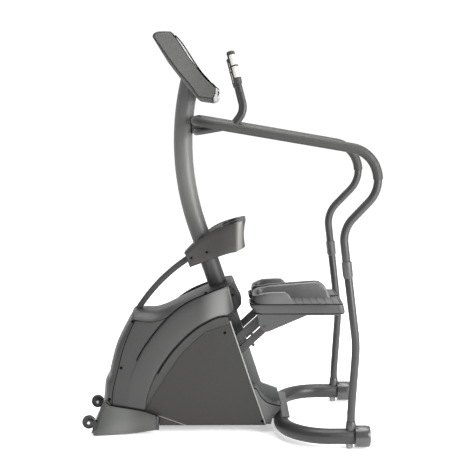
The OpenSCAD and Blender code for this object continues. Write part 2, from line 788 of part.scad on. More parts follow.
module console_back() color("dimgray")
    slab(-150, 150) polygon([[-236, 1600.8], [-244, 1601], [-196, 1542], [-132, 1462.6], [-124, 1459.2],
                             [-160.5, 1506.6], [-206.5, 1561.6]]);

module console_glass() color("black") difference() {
    slab(-console_half + 6, console_half - 6)
        polygon(concat(glass_out, reversed(lifted(glass_in, 0.2 * face_n[0], 0.2 * face_n[1]))));
    for (i = [0:3]) key_bar(i, -4, 20, 16 + 2 * gap);
}

module key(i, shade) color(shade) key_bar(i, -2.5, 6, 16);

base_frame();
rear_post();
rear_floor_tube();
rear_end_caps();
rubber_feet();
front_foot_cover();
wheel_brackets();
wheel(left);  // wheel_left
wheel(right);  // wheel_right
drive_frame();
shaft_bearings();
drive_pulley();
drive_belt();
flywheel();
generator();
pivot_shafts();
pedal(left);  // pedal_left
pedal(right);  // pedal_right
pedal_mat(left);  // pedal_mat_left
pedal_mat(right);  // pedal_mat_right
pedal_bracket(left);  // pedal_bracket_left
pedal_bracket(right);  // pedal_bracket_right
upper_arm(left);  // upper_arm_left
upper_arm(right);  // upper_arm_right
lower_link(left);  // lower_link_left
lower_link(right);  // lower_link_right
return_belt(left);  // return_belt_left
return_belt(right);  // return_belt_right
clutch_hub(left);  // clutch_hub_left
clutch_hub(right);  // clutch_hub_right
side_cover(left);  // side_cover_left
side_cover(right);  // side_cover_right
lower_panel(left);  // lower_panel_left
lower_panel(right);  // lower_panel_right
top_cover();
front_cover();
rear_lower_cover();
cover_screws();
mast();
front_brace();
holder_half(left);  // holder_left
holder_half(right);  // holder_right
handrail();
handrail_brace();
bar_clamp();
handrail_grips();
pulse_stems();
pulse_grips();
sensor_plates();
rail_sleeves();
lower_rails();
console_housing();
console_back();
console_glass();
key(0, "green");  // key_start
key(1, "red");  // key_stop
key(2, "silver");  // key_up
key(3, "silver");  // key_down
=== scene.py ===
import json
import math

import bmesh
import bpy
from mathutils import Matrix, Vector


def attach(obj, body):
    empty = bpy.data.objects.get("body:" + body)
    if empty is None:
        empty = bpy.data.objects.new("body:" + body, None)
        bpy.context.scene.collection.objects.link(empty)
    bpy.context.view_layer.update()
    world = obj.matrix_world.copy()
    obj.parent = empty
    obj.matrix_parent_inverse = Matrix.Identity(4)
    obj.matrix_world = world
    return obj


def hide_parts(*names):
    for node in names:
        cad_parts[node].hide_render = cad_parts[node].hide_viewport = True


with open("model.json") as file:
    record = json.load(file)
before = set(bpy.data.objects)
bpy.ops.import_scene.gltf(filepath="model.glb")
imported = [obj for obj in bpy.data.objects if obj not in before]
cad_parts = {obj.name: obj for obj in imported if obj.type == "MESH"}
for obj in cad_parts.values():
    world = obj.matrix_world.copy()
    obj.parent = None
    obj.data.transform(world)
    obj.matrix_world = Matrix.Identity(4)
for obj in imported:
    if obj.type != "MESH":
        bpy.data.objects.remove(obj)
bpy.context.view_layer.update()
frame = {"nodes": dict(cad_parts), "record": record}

MM = 0.001
LEFT, RIGHT = -1, 1
SIDE_WORD = {LEFT: "left", RIGHT: "right"}


# ---------------------------------------------------------------- materials

def new_material(name):
    m = bpy.data.materials.new(name)
    m.use_nodes = True
    nodes, links = m.node_tree.nodes, m.node_tree.links
    return m, nodes, links, nodes["Principled BSDF"]


def noise(nodes, links, coords, scale, detail=3.0, rough=0.5):
    n = nodes.new("ShaderNodeTexNoise")
    n.inputs["Scale"].default_value = scale
    n.inputs["Detail"].default_value = detail
    n.inputs["Roughness"].default_value = rough
    links.new(coords, n.inputs["Vector"])
    return n.outputs["Fac"]


def mapped(nodes, links, value, low, high, start=0.3, end=0.7, shape="LINEAR"):
    """The value's range start to end, turned into low to high."""
    r = nodes.new("ShaderNodeMapRange")
    r.interpolation_type = shape
    r.inputs["From Min"].default_value = start
    r.inputs["From Max"].default_value = end
    r.inputs["To Min"].default_value = low
    r.inputs["To Max"].default_value = high
    links.new(value, r.inputs["Value"])
    return r.outputs["Result"]


def bump_map(nodes, links, bsdf, height, strength, depth=None):
    b = nodes.new("ShaderNodeBump")
    b.inputs["Strength"].default_value = strength
    if depth:
        b.inputs["Distance"].default_value = depth
    links.new(height, b.inputs["Height"])
    links.new(b.outputs["Normal"], bsdf.inputs["Normal"])


def surface(name, color, rough=0.5, metal=0.0, grain=700.0, bump=0.15, depth=0.0003,
            vary=0.08, vary_scale=9.0, rough_vary=0.06, coat=0.0, coat_rough=0.2, specular=0.5,
            fades=()):
    """Paint or moulded plastic: slight colour and gloss variation, and a fine grain as bump.

    Each fade is (axis, from, to, colour): a soft change of shade along the piece, in metres."""
    m, nodes, links, bsdf = new_material(name)
    at = nodes.new("ShaderNodeTexCoord").outputs["Object"]
    broad = noise(nodes, links, at, vary_scale, 4.0)
    mix = nodes.new("ShaderNodeMix")
    mix.data_type = "RGBA"
    mix.inputs["A"].default_value = (*[c * (1 - vary) for c in color], 1)
    mix.inputs["B"].default_value = (*[min(1, c * (1 + vary)) for c in color], 1)
    links.new(broad, mix.inputs["Factor"])
    base = mix.outputs["Result"]
    for axis, low, high, other in fades:
        split = nodes.new("ShaderNodeSeparateXYZ")
        links.new(at, split.inputs["Vector"])
        along = mapped(nodes, links, split.outputs[axis], 0, 1, low, high, "SMOOTHSTEP")
        shift = nodes.new("ShaderNodeMix")
        shift.data_type = "RGBA"
        shift.inputs["B"].default_value = (*other, 1)
        links.new(along, shift.inputs["Factor"])
        links.new(base, shift.inputs["A"])
        base = shift.outputs["Result"]
    links.new(base, bsdf.inputs["Base Color"])
    streak = noise(nodes, links, at, vary_scale * 6, 5.0, 0.6)
    links.new(mapped(nodes, links, streak, rough - rough_vary, rough + rough_vary),
              bsdf.inputs["Roughness"])
    bump_map(nodes, links, bsdf, noise(nodes, links, at, grain, 2.0), bump, depth)
    bsdf.inputs["Metallic"].default_value = metal
    bsdf.inputs["Specular IOR Level"].default_value = specular
    bsdf.inputs["Coat Weight"].default_value = coat
    bsdf.inputs["Coat Roughness"].default_value = coat_rough
    return m


# Colour, roughness, metal, grain scale, bump, and anything else
MATERIALS = {
    "frame_paint": ((0.030, 0.030, 0.030), 0.42, 0.25, 900, 0.08, dict(vary=0.05)),
    "light_paint": ((0.10, 0.103, 0.103), 0.42, 0.3, 900, 0.08, dict(vary=0.04,
        fades=[("X", 0.20, 0.30, (0.05, 0.05, 0.05))])),
    # The mast is lighter towards its top: painted light from above.
    "mast_paint": ((0.022, 0.022, 0.022), 0.50, 0.1, 900, 0.08, dict(vary=0.05,
        fades=[("Z", 0.75, 1.15, (0.10, 0.10, 0.098))])),
    "tube_paint": ((0.021, 0.021, 0.021), 0.42, 0.2, 900, 0.08, dict(vary=0.05)),
    "cover": ((0.027, 0.027, 0.026), 0.45, 0.0, 1100, 0.15, dict(vary=0.05, specular=0.42)),
    # The band lightens towards the back as a painted highlight, then goes dark round the rear corner as
    # painted shade.
    "band": ((0.026, 0.026, 0.025), 0.43, 0.0, 1100, 0.15, dict(vary=0.05,
        fades=[("X", -0.13, -0.03, (0.12, 0.12, 0.118)), ("X", -0.018, 0.02, (0.010, 0.010, 0.010))])),
    # Very dark with little gloss: painted shade on the hood round the back.
    "hood": ((0.012, 0.012, 0.012), 0.6, 0.0, 1100, 0.15, dict(vary=0.05, specular=0.12)),
    # The rear lower cover darkens towards the back: painted shade.
    "fender": ((0.085, 0.085, 0.084), 0.5, 0.0, 1100, 0.2, dict(vary=0.04,
        fades=[("X", 0.15, 0.22, (0.04, 0.04, 0.04))])),
    # Light grey: the rear feet, and the light lines along the lower panels' rear edge and lower front
    # cut, which are painted highlights.
    "light_cover": ((0.22, 0.22, 0.215), 0.45, 0.0, 1100, 0.2, dict(vary=0.04)),
    # Very dark: painted shade for the strip under the band and for the holder's deck and underside.
    "recess": ((0.014, 0.014, 0.013), 0.5, 0.0, 1000, 0.15, dict(vary=0.05)),
    # The foot cover gets a painted highlight across its front part, then goes back to its base colour,
    # and a dark strip at its rear end as painted shade.
    "foot": ((0.044, 0.046, 0.042), 0.34, 0.0, 1000, 0.10, dict(vary=0.05, coat=0.15,
        fades=[("X", -0.57, -0.47, (0.085, 0.088, 0.082)),
               ("X", -0.46, -0.37, (0.045, 0.047, 0.043)),
               ("X", -0.320, -0.312, (0.018, 0.018, 0.018))])),
    "panel": ((0.020, 0.0195, 0.0175), 0.55, 0.0, 1000, 0.2, dict(vary=0.05, specular=0.36)),
    "cap": ((0.036, 0.036, 0.036), 0.30, 0.0, 1200, 0.08, dict(vary=0.04, coat=0.3)),
    "rubber": ((0.012, 0.012, 0.012), 0.7, 0.0, 900, 0.4, dict(vary=0.15)),
    "black_paint": ((0.012, 0.012, 0.012), 0.45, 0.2, 900, 0.1, {}),
    "wheel": ((0.015, 0.015, 0.015), 0.42, 0.0, 900, 0.12, {}),
    "steel": ((0.42, 0.42, 0.42), 0.35, 0.9, 500, 0.15, {}),
    "pedal": ((0.037, 0.038, 0.038), 0.44, 0.0, 900, 0.25, dict(vary=0.06)),
    # The pedal walls are darker at the toe and lighter towards the back: painted shade and light.
    "pedal_wall": ((0.030, 0.031, 0.031), 0.44, 0.0, 900, 0.25, dict(vary=0.06,
        fades=[("X", 0.12, 0.22, (0.075, 0.076, 0.076))])),
    "mat": ((0.06, 0.06, 0.06), 0.60, 0.0, 700, 0.5, dict(vary=0.12)),
    # Near black: screws and seams, and also the painted shade lines under and along the band, down the
    # foot cover's edges and round the clamp bolts.
    "screw": ((0.003, 0.003, 0.003), 0.75, 0.0, 900, 0.1, dict(specular=0.06)),
    # Light grey for the top edge of the pedal walls: a painted highlight.
    "rim": ((0.22, 0.22, 0.215), 0.45, 0.0, 900, 0.15, dict(vary=0.04)),
    # A painted highlight on the holder's rounded rear corner, then painted shade towards its back.
    "holder": ((0.021, 0.020, 0.018), 0.42, 0.0, 1000, 0.15, dict(vary=0.05,
        fades=[("X", 0.030, 0.050, (0.13, 0.127, 0.118)), ("X", 0.056, 0.072, (0.02, 0.02, 0.018))])),
    "clamp": ((0.05, 0.05, 0.05), 0.4, 0.3, 900, 0.1, {}),
    "grip": ((0.030, 0.030, 0.028), 0.55, 0.0, 1500, 0.2, dict(vary=0.05, specular=0.32)),
    "sensor": ((0.50, 0.49, 0.455), 0.38, 0.3, 300, 0.01, dict(vary=0.03)),
    "sleeve": ((0.05, 0.05, 0.05), 0.36, 0.2, 900, 0.1, {}),
    "console": ((0.073, 0.073, 0.071), 0.55, 0.0, 300, 0.01, dict(vary=0.03, specular=0.4)),
    "console_dark": ((0.014, 0.014, 0.014), 0.5, 0.0, 900, 0.2, {}),
    "bright_trim": ((0.50, 0.50, 0.49), 0.34, 0.3, 900, 0.02, dict(vary=0.03)),
    "glass": ((0.006, 0.006, 0.007), 0.22, 0.0, 200, 0.0, dict(vary=0.02, rough_vary=0.02,
        specular=0.25)),
    "key_green": ((0.03, 0.28, 0.08), 0.3, 0.0, 900, 0.1, dict(coat=0.4)),
    "key_red": ((0.45, 0.02, 0.02), 0.3, 0.0, 900, 0.1, dict(coat=0.4)),
    "key_grey": ((0.3, 0.3, 0.31), 0.35, 0.0, 900, 0.1, dict(coat=0.3)),
}
MAT = {name: surface(name, *values[:-1], **values[-1]) for name, values in MATERIALS.items()}


# ---------------------------------------------------------------- mesh tools

def round_edges(ob, width, segments, limit):
    mod = ob.modifiers.new("edge", "BEVEL")
    mod.width = width * MM
    mod.segments = segments
    mod.limit_method = "ANGLE"
    mod.angle_limit = math.radians(limit)
    mod.harden_normals = True


def finish_mesh(name, bm, material, body="frame", slot="", replaces=(), angle=32.0,
                bevel=0.0, segments=3, solid=0.0):
    """Turn bm into a smooth-shaded piece on a body, with its wall thickness and rounded edges."""
    bmesh.ops.remove_doubles(bm, verts=bm.verts, dist=1e-6)
    bmesh.ops.recalc_face_normals(bm, faces=bm.faces)
    me = bpy.data.meshes.new(name)
    bm.to_mesh(me)
    bm.free()
    me.materials.append(MAT[material])
    for p in me.polygons:
        p.use_smooth = True
    me.set_sharp_from_angle(angle=math.radians(angle))
    ob = bpy.data.objects.new(name, me)
    bpy.context.scene.collection.objects.link(ob)
    if solid:
        mod = ob.modifiers.new("shell", "SOLIDIFY")
        mod.thickness = solid * MM
        mod.offset = -1
    if bevel:
        round_edges(ob, bevel, segments, 30)
    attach(ob, body)
    if replaces:
        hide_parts(*replaces)
    return ob


def point(bm, p):
    return bm.verts.new((p[0] * MM, p[1] * MM, p[2] * MM))


NEAREST = 0.5  # mm between the points of a centre line, at the least


def arc_path(path, radii, step=5.0):
    """Corner points to a smooth centre line: each inner corner rounded by its radius."""
    pts = [Vector(p) for p in path]
    out = [pts[0]]
    for i in range(1, len(pts) - 1):
        u = (pts[i] - pts[i - 1]).normalized()
        w = (pts[i + 1] - pts[i]).normalized()
        phi = u.angle(w)
        r = radii[i - 1]
        start = pts[i] - u * r * math.tan(phi / 2)
        m = (w - u * u.dot(w)).normalized()
        centre = start + m * r
        n = max(3, int(math.degrees(phi) / step) + 1)
        for k in range(n + 1):
            a = phi * k / n
            on_arc = centre - m * r * math.cos(a) + u * r * math.sin(a)
            if (on_arc - out[-1]).length > NEAREST:
                out.append(on_arc)
    if (pts[-1] - out[-1]).length > NEAREST:
        out.append(pts[-1])
    return out


def sweep_rings(line, profile, up):
    """Rings of 3-D points: profile (list of (a, b)) carried along line without twist."""
    rings = []
    t0 = (line[1] - line[0]).normalized()
    n = (Vector(up) - t0 * t0.dot(Vector(up))).normalized()
    for i, p in enumerate(line):
        a = line[max(i - 1, 0)]
        b = line[min(i + 1, len(line) - 1)]
        t = (b - a).normalized()
        n = (n - t * t.dot(n)).normalized()
        b2 = t.cross(n)
        shape = profile(i) if callable(profile) else profile
        rings.append([p + n * u + b2 * v for u, v in shape])
    return rings


def skin(bm, rings, closed=True, caps=True):
    """Faces between one ring of points and the next; closed rings also get end caps."""
    vs = [[point(bm, p) for p in ring] for ring in rings]
    n = len(vs[0])
    for a, b in zip(vs, vs[1:]):
        for k in range(n if closed else n - 1):
            k2 = (k + 1) % n
            bm.faces.new((a[k], a[k2], b[k2], b[k]))
    if caps and closed:
        bm.faces.new(list(reversed(vs[0])))
        bm.faces.new(vs[-1])
    return vs


def circle(r, n=40):
    return [(r * math.cos(2 * math.pi * k / n), r * math.sin(2 * math.pi * k / n)) for k in range(n)]


def tube(name, line, d, material, up=(0, 1, 0), n=40, ends=(1.5, 1.5), **kw):
    """Round bar along a centre line, its ends slightly rounded."""
    line = [Vector(p) for p in line]
    radii = [d / 2] * len(line)
    for end, at, nxt in ((ends[0], 0, 1), (ends[1], -1, -2)):
        if end:
            d1 = (line[nxt] - line[at]).normalized()
            extra = [(line[at] + d1 * end, d / 2), (line[at] + d1 * end * 0.3, d / 2 - end * 0.3),
                     (line[at], d / 2 - end)]
            if at == 0:
                line = [extra[2][0], extra[1][0], extra[0][0]] + line[1:]
                radii = [extra[2][1], extra[1][1], extra[0][1]] + radii[1:]
            else:
                line = line[:-1] + [extra[0][0], extra[1][0], extra[2][0]]
                radii = radii[:-1] + [extra[0][1], extra[1][1], extra[2][1]]
    bm = bmesh.new()
    skin(bm, sweep_rings(line, lambda i: circle(radii[i], n), up))
    return finish_mesh(name, bm, material, **kw)


def lathe(name, origin, axis, stations, material, n=48, **kw):
    """Turned piece: stations are (distance along axis, radius) from origin."""
    axis = Vector(axis).normalized()
    side = axis.orthogonal().normalized()
    other = axis.cross(side)
    bm = bmesh.new()
    rings = []
    for s, r in stations:
        c = Vector(origin) + axis * s
        rings.append([c + side * u + other * v for u, v in circle(max(r, 0.01), n)])
    skin(bm, rings)
    return finish_mesh(name, bm, material, **kw)


def prism(name, outline, y0, y1, material, bevel=2.0, **kw):
    """XZ outline extruded between two Y values."""
    bm = bmesh.new()
    a = [point(bm, (x, y0, z)) for x, z in outline]
    b = [point(bm, (x, y1, z)) for x, z in outline]
    n = len(outline)
    bm.faces.new(a)
    bm.faces.new(list(reversed(b)))
    for k in range(n):
        k2 = (k + 1) % n
        bm.faces.new((a[k], b[k], b[k2], a[k2]))
    return finish_mesh(name, bm, material, bevel=bevel, **kw)


def spline(points, n):
    """Smooth curve through points, resampled to n points evenly by length (Catmull-Rom)."""
    p = [Vector((*q, 0)) if len(q) == 2 else Vector(q) for q in points]
    ext = [p[0] * 2 - p[1]] + p + [p[-1] * 2 - p[-2]]
    dense = []
    for i in range(len(p) - 1):
        a, b, c, d = ext[i:i + 4]
        for k in range(16):
            t = k / 16
            dense.append(0.5 * ((2 * b) + (c - a) * t + (2 * a - 5 * b + 4 * c - d) * t * t
                                + (3 * b - a - 3 * c + d) * t ** 3))
    dense.append(p[-1])
    return resample(dense, n)


def resample(dense, n):
    """The same curve as n points, evenly spaced along its length."""
    acc = [0.0]
    for a, b in zip(dense, dense[1:]):
        acc.append(acc[-1] + (b - a).length)
    out, j = [], 0
    for k in range(n):
        s = acc[-1] * k / (n - 1)
        while j < len(acc) - 2 and acc[j + 1] < s:
            j += 1
        span = acc[j + 1] - acc[j]
        f = 0 if span == 0 else (s - acc[j]) / span
        out.append(dense[j].lerp(dense[j + 1], min(1, max(0, f))))
    return out


def both(make):
    """Make the pieces of the left side, then those of the right."""
    make(LEFT)
    make(RIGHT)


# ---------------------------------------------------------------- stage

def studio():
    bpy.ops.mesh.primitive_plane_add(size=60)
    floor = bpy.context.object
    floor.name = "floor"
    m, nodes, links, bsdf = new_material("floor")
    bsdf.inputs["Emission Color"].default_value = (1, 1, 1, 1)
    bsdf.inputs["Emission Strength"].default_value = 0.45
    bsdf.inputs["Base Color"].default_value = (0.93, 0.93, 0.93, 1)
    bsdf.inputs["Roughness"].default_value = 0.9
    at = nodes.new("ShaderNodeTexCoord").outputs["Object"]
    bump_map(nodes, links, bsdf, noise(nodes, links, at, 40), 0.02)
    floor.data.materials.append(m)

    world = bpy.data.worlds.new("studio")
    bpy.context.scene.world = world
    world.use_nodes = True
    nodes, links = world.node_tree.nodes, world.node_tree.links
    bg = nodes["Background"]
    # A white cyclorama behind and above, a darker room behind the camera
    way = nodes.new("ShaderNodeSeparateXYZ")
    links.new(nodes.new("ShaderNodeTexCoord").outputs["Generated"], way.inputs["Vector"])
    links.new(mapped(nodes, links, way.outputs["Y"], 0.22, 1.05, -0.35, 0.35), bg.inputs["Strength"])
    bg.inputs["Color"].default_value = (1, 1, 1, 1)

    def area(name, pos, aim, size, power):
        light = bpy.data.lights.new(name, "AREA")
        light.shape = "RECTANGLE"
        light.size, light.size_y = size
        light.energy = power
        ob = bpy.data.objects.new(name, light)
        bpy.context.scene.collection.objects.link(ob)
        ob.location = pos
        ob.rotation_euler = (Vector(aim) - Vector(pos)).to_track_quat("-Z", "Y").to_euler()

    area("key", (3.3, -3.0, 1.9), (0, 0, 0.8), (2.2, 2.8), 330)
    area("fill", (-3.4, -2.8, 2.6), (0, 0, 0.8), (1.2, 2.0), 8)
    area("top", (0.2, 0.1, 4.4), (0, 0, 0.6), (3.6, 3.0), 260)

    cam = bpy.data.cameras.new("camera")
    cam.lens = 75.97
    cam.sensor_width = 36
    ob = bpy.data.objects.new("camera", cam)
    bpy.context.scene.collection.objects.link(ob)
    ob.location = (-0.0059, -4.3856, 1.4206)
    ob.rotation_euler = (math.radians(90 - 7.405), 0, math.radians(-0.625))
    bpy.context.scene.camera = ob
    bpy.context.scene.view_settings.view_transform = "Standard"


studio()

# ---------------------------------------------------------------- tubes and bars

RAIL_Y = 340
REAR_Y = 310.5
FRONT_BAR = (-130.2, 1364.5)
RAIL_D, GRIP_D, BRACE_D, STEM_D, FLOOR_D, MAST_D = 34, 41, 28, 25, 66, 82
SLEEVE_DROP = 191.5
FOOT_X = 515
FLOOR_Z = 52
ELBOW, KNEE = (472, 923, 318), (532.5, 440)
HIGH_BACK, HIGH_TOP, HIGH_FRONT = (630.1, 1089.1, REAR_Y), (586, 1241.8, REAR_Y), FRONT_BAR
BACK_BEND, TOP_BEND = 129, 128
MAST = [(-20.5, 0, 575.6), (-240.5, 0, 1211), (-156.5, 0, 1556)]


def at_side(side, x, z, y=RAIL_Y):
    return Vector((x, side * y, z))


def rail_joint(side):
    """Where the upper handrail slides over the lower rail, and the rail's direction there."""
    elbow = at_side(side, *ELBOW)
    down = (at_side(side, *KNEE) - elbow).normalized()
    return elbow + down * SLEEVE_DROP, down


def handrail():
    corners = [ELBOW, HIGH_BACK, HIGH_TOP, HIGH_FRONT]
    path = [rail_joint(LEFT)[0]] + [at_side(LEFT, *p) for p in corners]
    path += [at_side(RIGHT, *p) for p in reversed(corners)] + [rail_joint(RIGHT)[0]]
    bends = [127, BACK_BEND, TOP_BEND, 90]
    tube("handrail_tube", arc_path(path, bends + bends[::-1]), RAIL_D, "frame_paint",
         n=48, slot="frame_paint", replaces=("handrail",))

    def grip(side):
        down = (at_side(side, *HIGH_BACK) - at_side(side, *HIGH_TOP)).normalized()
        back = (at_side(side, *ELBOW) - at_side(side, *HIGH_BACK)).normalized()
        turn, covered = down.angle(back), math.radians(15)
        part = BACK_BEND * math.tan(covered / 2)
        knee = at_side(side, *HIGH_BACK) - down * (BACK_BEND * math.tan(turn / 2) - part)
        bend = (back - down * back.dot(down)).normalized()
        tip = knee + part * (down * math.cos(covered) + bend * math.sin(covered))
        path = [at_side(side, *FRONT_BAR, 70), at_side(side, *HIGH_FRONT),
                at_side(side, *HIGH_TOP), knee, tip]
        line = arc_path(path, [90, TOP_BEND, BACK_BEND])
        tube(f"rail_grip_{side}", line, GRIP_D, "grip", up=(0, 0, 1), n=48, ends=(3, 3),
             slot="grip_rubber", replaces=("handrail_grips",))
    both(grip)

    line = arc_path([(0, -RAIL_Y + 5.4, 1342), (-128, -RAIL_Y + 36, 1319), (-128, RAIL_Y - 36, 1319),
                     (0, RAIL_Y - 5.4, 1342)], [60, 60])
    tube("handrail_brace_tube", line, BRACE_D, "frame_paint", up=(0, 0, 1), n=36,
         slot="frame_paint", replaces=("handrail_brace",))

    def lower(side):
        joint, down = rail_joint(side)
        path = [joint + down * 0.4, at_side(side, *KNEE), at_side(side, FOOT_X, 150),
                at_side(side, FOOT_X, 85)]
        tube(f"lower_rail_{side}", arc_path(path, [500, 200], 1.5), RAIL_D, "frame_paint",
             slot="frame_paint", replaces=("lower_rails",))
        lathe(f"rail_sleeve_{side}", joint, down,
              [(-56, 17.1), (-56, 19.5), (-54.5, 21), (1, 21), (3, 20.6), (11.5, 18.2), (12.5, 17.1)],
              "sleeve", slot="sleeve_metal", replaces=("rail_sleeves",))
    both(lower)


def floor_parts():
    path = [(589, -RAIL_Y, FLOOR_Z), (235, -RAIL_Y, FLOOR_Z), (235, RAIL_Y, FLOOR_Z),
            (589, RAIL_Y, FLOOR_Z)]
    tube("floor_tube", arc_path(path, [200, 200], 3), FLOOR_D, "tube_paint", up=(0, 0, 1), n=56,
         slot="frame_paint", replaces=("rear_floor_tube",))

    def ends(side):
        lathe(f"rail_socket_{side}", at_side(side, FOOT_X, 70), (0, 0, 1),
              [(0, 0), (2, 12), (6, 18.5), (12, 21.5), (20, 22), (45, 20), (47, 19), (47.5, 17.1)],
              "sleeve", slot="frame_paint", replaces=("rear_floor_tube",))
        lathe(f"end_cap_{side}", at_side(side, 531, FLOOR_Z), (1, 0, 0),
              [(0, 33.5), (0, 44), (0.8, 45.2), (2.2, 45.8), (48, 45.8), (58, 45.2), (62.5, 43.8),
               (64.4, 41.5), (65, 38), (65, 20), (65, 0)],
              "cap", n=64, slot="cap_rubber", replaces=("rear_end_caps",))
        lathe(f"rear_foot_{side}", at_side(side, 510, 0), (0, 0, 1),
              [(0, 8), (0.6, 11), (3, 13), (7, 14), (21, 14), (24, 14)],
              "light_cover", slot="foot_rubber", replaces=("rubber_feet",))
        lathe(f"front_foot_{side}", Vector((-505, side * 115, 0)), (0, 0, 1),
              [(0, 16), (0.6, 18), (3, 19.6), (7, 20), (16, 20), (18, 18)],
              "rubber", slot="foot_rubber", replaces=("rubber_feet",))
    both(ends)


def mast_and_brace():
    tube("mast_tube", arc_path(MAST, [1150], 1.5), MAST_D, "mast_paint", n=72,
         slot="frame_paint", replaces=("mast",))
    # The brace is a flat bar, 25 by 40 mm, rolled to one radius
    bend_r, from_deg, over_deg = 753, 122.4, 25.2
    arc = []
    for k in range(33):
        a = math.radians(from_deg + over_deg * k / 32)
        arc.append(Vector((239 + bend_r * math.cos(a), 0, 128 + bend_r * math.sin(a))))
    edge, corner, half_x, half_y = [], 5, 12.5 - 5, 20 - 5
    for cx, cy, a0 in ((half_x, half_y, 0), (-half_x, half_y, 90), (-half_x, -half_y, 180),
                       (half_x, -half_y, 270)):
        for k in range(5):
            a = math.radians(a0 + 22.5 * k)
            edge.append((cx + corner * math.cos(a), cy + corner * math.sin(a)))
    bm = bmesh.new()
    skin(bm, sweep_rings(arc, edge, (1, 0, -1)))
    finish_mesh("front_brace_bar", bm, "frame_paint", slot="frame_paint", replaces=("front_brace",))


def pulse_grips():
    def one(side):
        foot = Vector((23, side * 333.6, 1338))
        bend = Vector((72, side * 335, 1405))
        top = Vector((11, side * 290, 1643))
        up = (top - bend).normalized()
        base = top - up * 135
        line = arc_path([foot, bend, base + up * 60], [72], 4)
        tube(f"pulse_stem_{side}", line, STEM_D, "frame_paint", n=40, ends=(0, 0),
             slot="frame_paint", replaces=("pulse_stems",))
        lathe(f"pulse_grip_{side}", base, up,
              [(-2, 12.6), (-2, 14.8), (-0.5, 15.8), (4, 16.2), (18, 16.8), (19, 17.2), (21, 17.2),
               (22, 16.4), (121, 16.4), (122, 17.2), (124, 17.2), (130, 16.6), (133.5, 14.5),
               (135, 11), (135, 0)],
              "grip", slot="grip_rubber", replaces=("pulse_grips",))
        lathe(f"pulse_ring_{side}", base, up,
              [(68.6, 16.3), (68.6, 17.0), (69.6, 17.4), (73.6, 17.4), (74.6, 17.0), (74.6, 16.3)],
              "grip", slot="grip_rubber", replaces=("pulse_grips",))
        # Two curved contact plates, open on the front side
        side_dir = up.cross(Vector((1, 0, 0))).normalized()
        rear = side_dir.cross(up).normalized()
        for j, (start, h) in enumerate(((23.3, 44.4), (75.3, 41.4))):
            bm = bmesh.new()
            rings = []
            for z, r in ((start, 16.5), (start, 17.3), (start + 0.8, 17.9), (start + h - 0.8, 17.9),
                         (start + h, 17.3), (start + h, 16.5)):
                ring = []
                for k in range(37):
                    a = math.radians(-125 + 250 * k / 36)
                    ring.append(base + up * z + (rear * math.cos(a) + side_dir * math.sin(a)) * r)
                rings.append(ring)
            skin(bm, rings + [rings[0]], closed=False)
            finish_mesh(f"pulse_plate_{side}_{j}", bm, "sensor", slot="sensor_steel",
                        replaces=("sensor_plates",))
    both(one)


def clamp_bolts(side):
    # A thin black disc round each bolt: painted shadow of the recess it sits in.
    lathe(f"clamp_recess_{side}", Vector((-160, side * 14, 1341)), (0, side, 0),
          [(0, 9), (1.2, 9), (1.4, 8), (1.4, 0)], "screw", n=24, slot="clamp_metal")
    lathe(f"clamp_bolt_{side}", Vector((-161, side * 15, 1341)), (0, side, 0),
          [(0, 5), (3, 5), (4, 4), (4, 0)], "bright_trim", n=6, slot="clamp_metal")


handrail()
both(clamp_bolts)
floor_parts()
mast_and_brace()
pulse_grips()

# ---------------------------------------------------------------- covers

def sheet(name, rows, material, solid=2.5, **kw):
    """Moulded shell from a grid of points, given a wall thickness inwards."""
    bm = bmesh.new()
    skin(bm, [[Vector(p) for p in row] for row in rows], closed=False)
    return finish_mesh(name, bm, material, solid=solid, **kw)


def lerp(a, b, t):
    return [x + (y - x) * t for x, y in zip(a, b)]


def smooth(t):
    t = min(1, max(0, t))
    return t * t * (3 - 2 * t)


BAND_TOP = [(-444, 112), (-434, 222), (-416, 275), (-375, 364), (-314, 452), (-244, 531),
            (-175, 583), (-93, 620), (-37, 641), (-12, 649)]
BAND_LOW = [(-364, 105), (-343, 195), (-298, 293), (-228, 390), (-141, 472), (-55, 520), (2, 530)]
PANEL_TOP = [(-363, 104), (-310, 200), (-247, 297), (-194, 368), (-107, 448), (-55, 470), (6, 489)]
HOOD = [(17, 658), (21, 658), (24, 654), (27, 648), (37, 622), (49, 597), (60, 575), (58, 569),
        (36, 538)]
BAND_ACROSS = [(-0.012, 146.5), (0.0, 150.5), (0.02, 154.0), (0.06, 155.5), (0.3, 157.5),
               (0.62, 157.5), (0.9, 155.5), (0.975, 153.5), (1.0, 149.5)]
SHOULDER = [(-407, 509), (-396, 508), (-347, 500), (-304, 504), (-260, 522), (-214, 553),
            (-155, 585), (-92, 613), (-40, 634), (-10, 645), (12, 652), (19, 656)]
HUMP = [(-419, 528), (-400, 531), (-377, 532), (-323, 532), (-290, 540), (-256, 554), (-177, 592),
        (-120, 618), (-83, 633), (-40, 648), (4, 664), (14, 665.5), (22, 659)]
SEAM = [(-400, 508), (-421, 466), (-439, 423), (-460, 362), (-476, 296), (-492, 235), (-503, 183),
        (-507, 112)]
NOSE = [(-419, 524), (-450, 470), (-487, 396), (-508, 330), (-522, 268), (-528, 246), (-541, 226),
        (-545, 205), (-549, 160), (-555, 110)]


def side_y(x):
    """Half width of the shroud: it draws in slightly towards the front and the back."""
    front = max(0, -280 - x) / 220
    back = max(0, x + 120) / 120
    return 150 - 10 * front ** 2 - 9 * min(back, 1.2) ** 2


def curve_x(curve, z):
    """X of a curve of (x, z) points at height z, on its last crossing."""
    for (x0, z0), (x1, z1) in reversed(list(zip(curve, curve[1:]))):
        if min(z0, z1) <= z <= max(z0, z1) and z0 != z1:
            return x0 + (x1 - x0) * (z - z0) / (z1 - z0)
    return curve[0][0] if z < curve[0][1] else curve[-1][0]


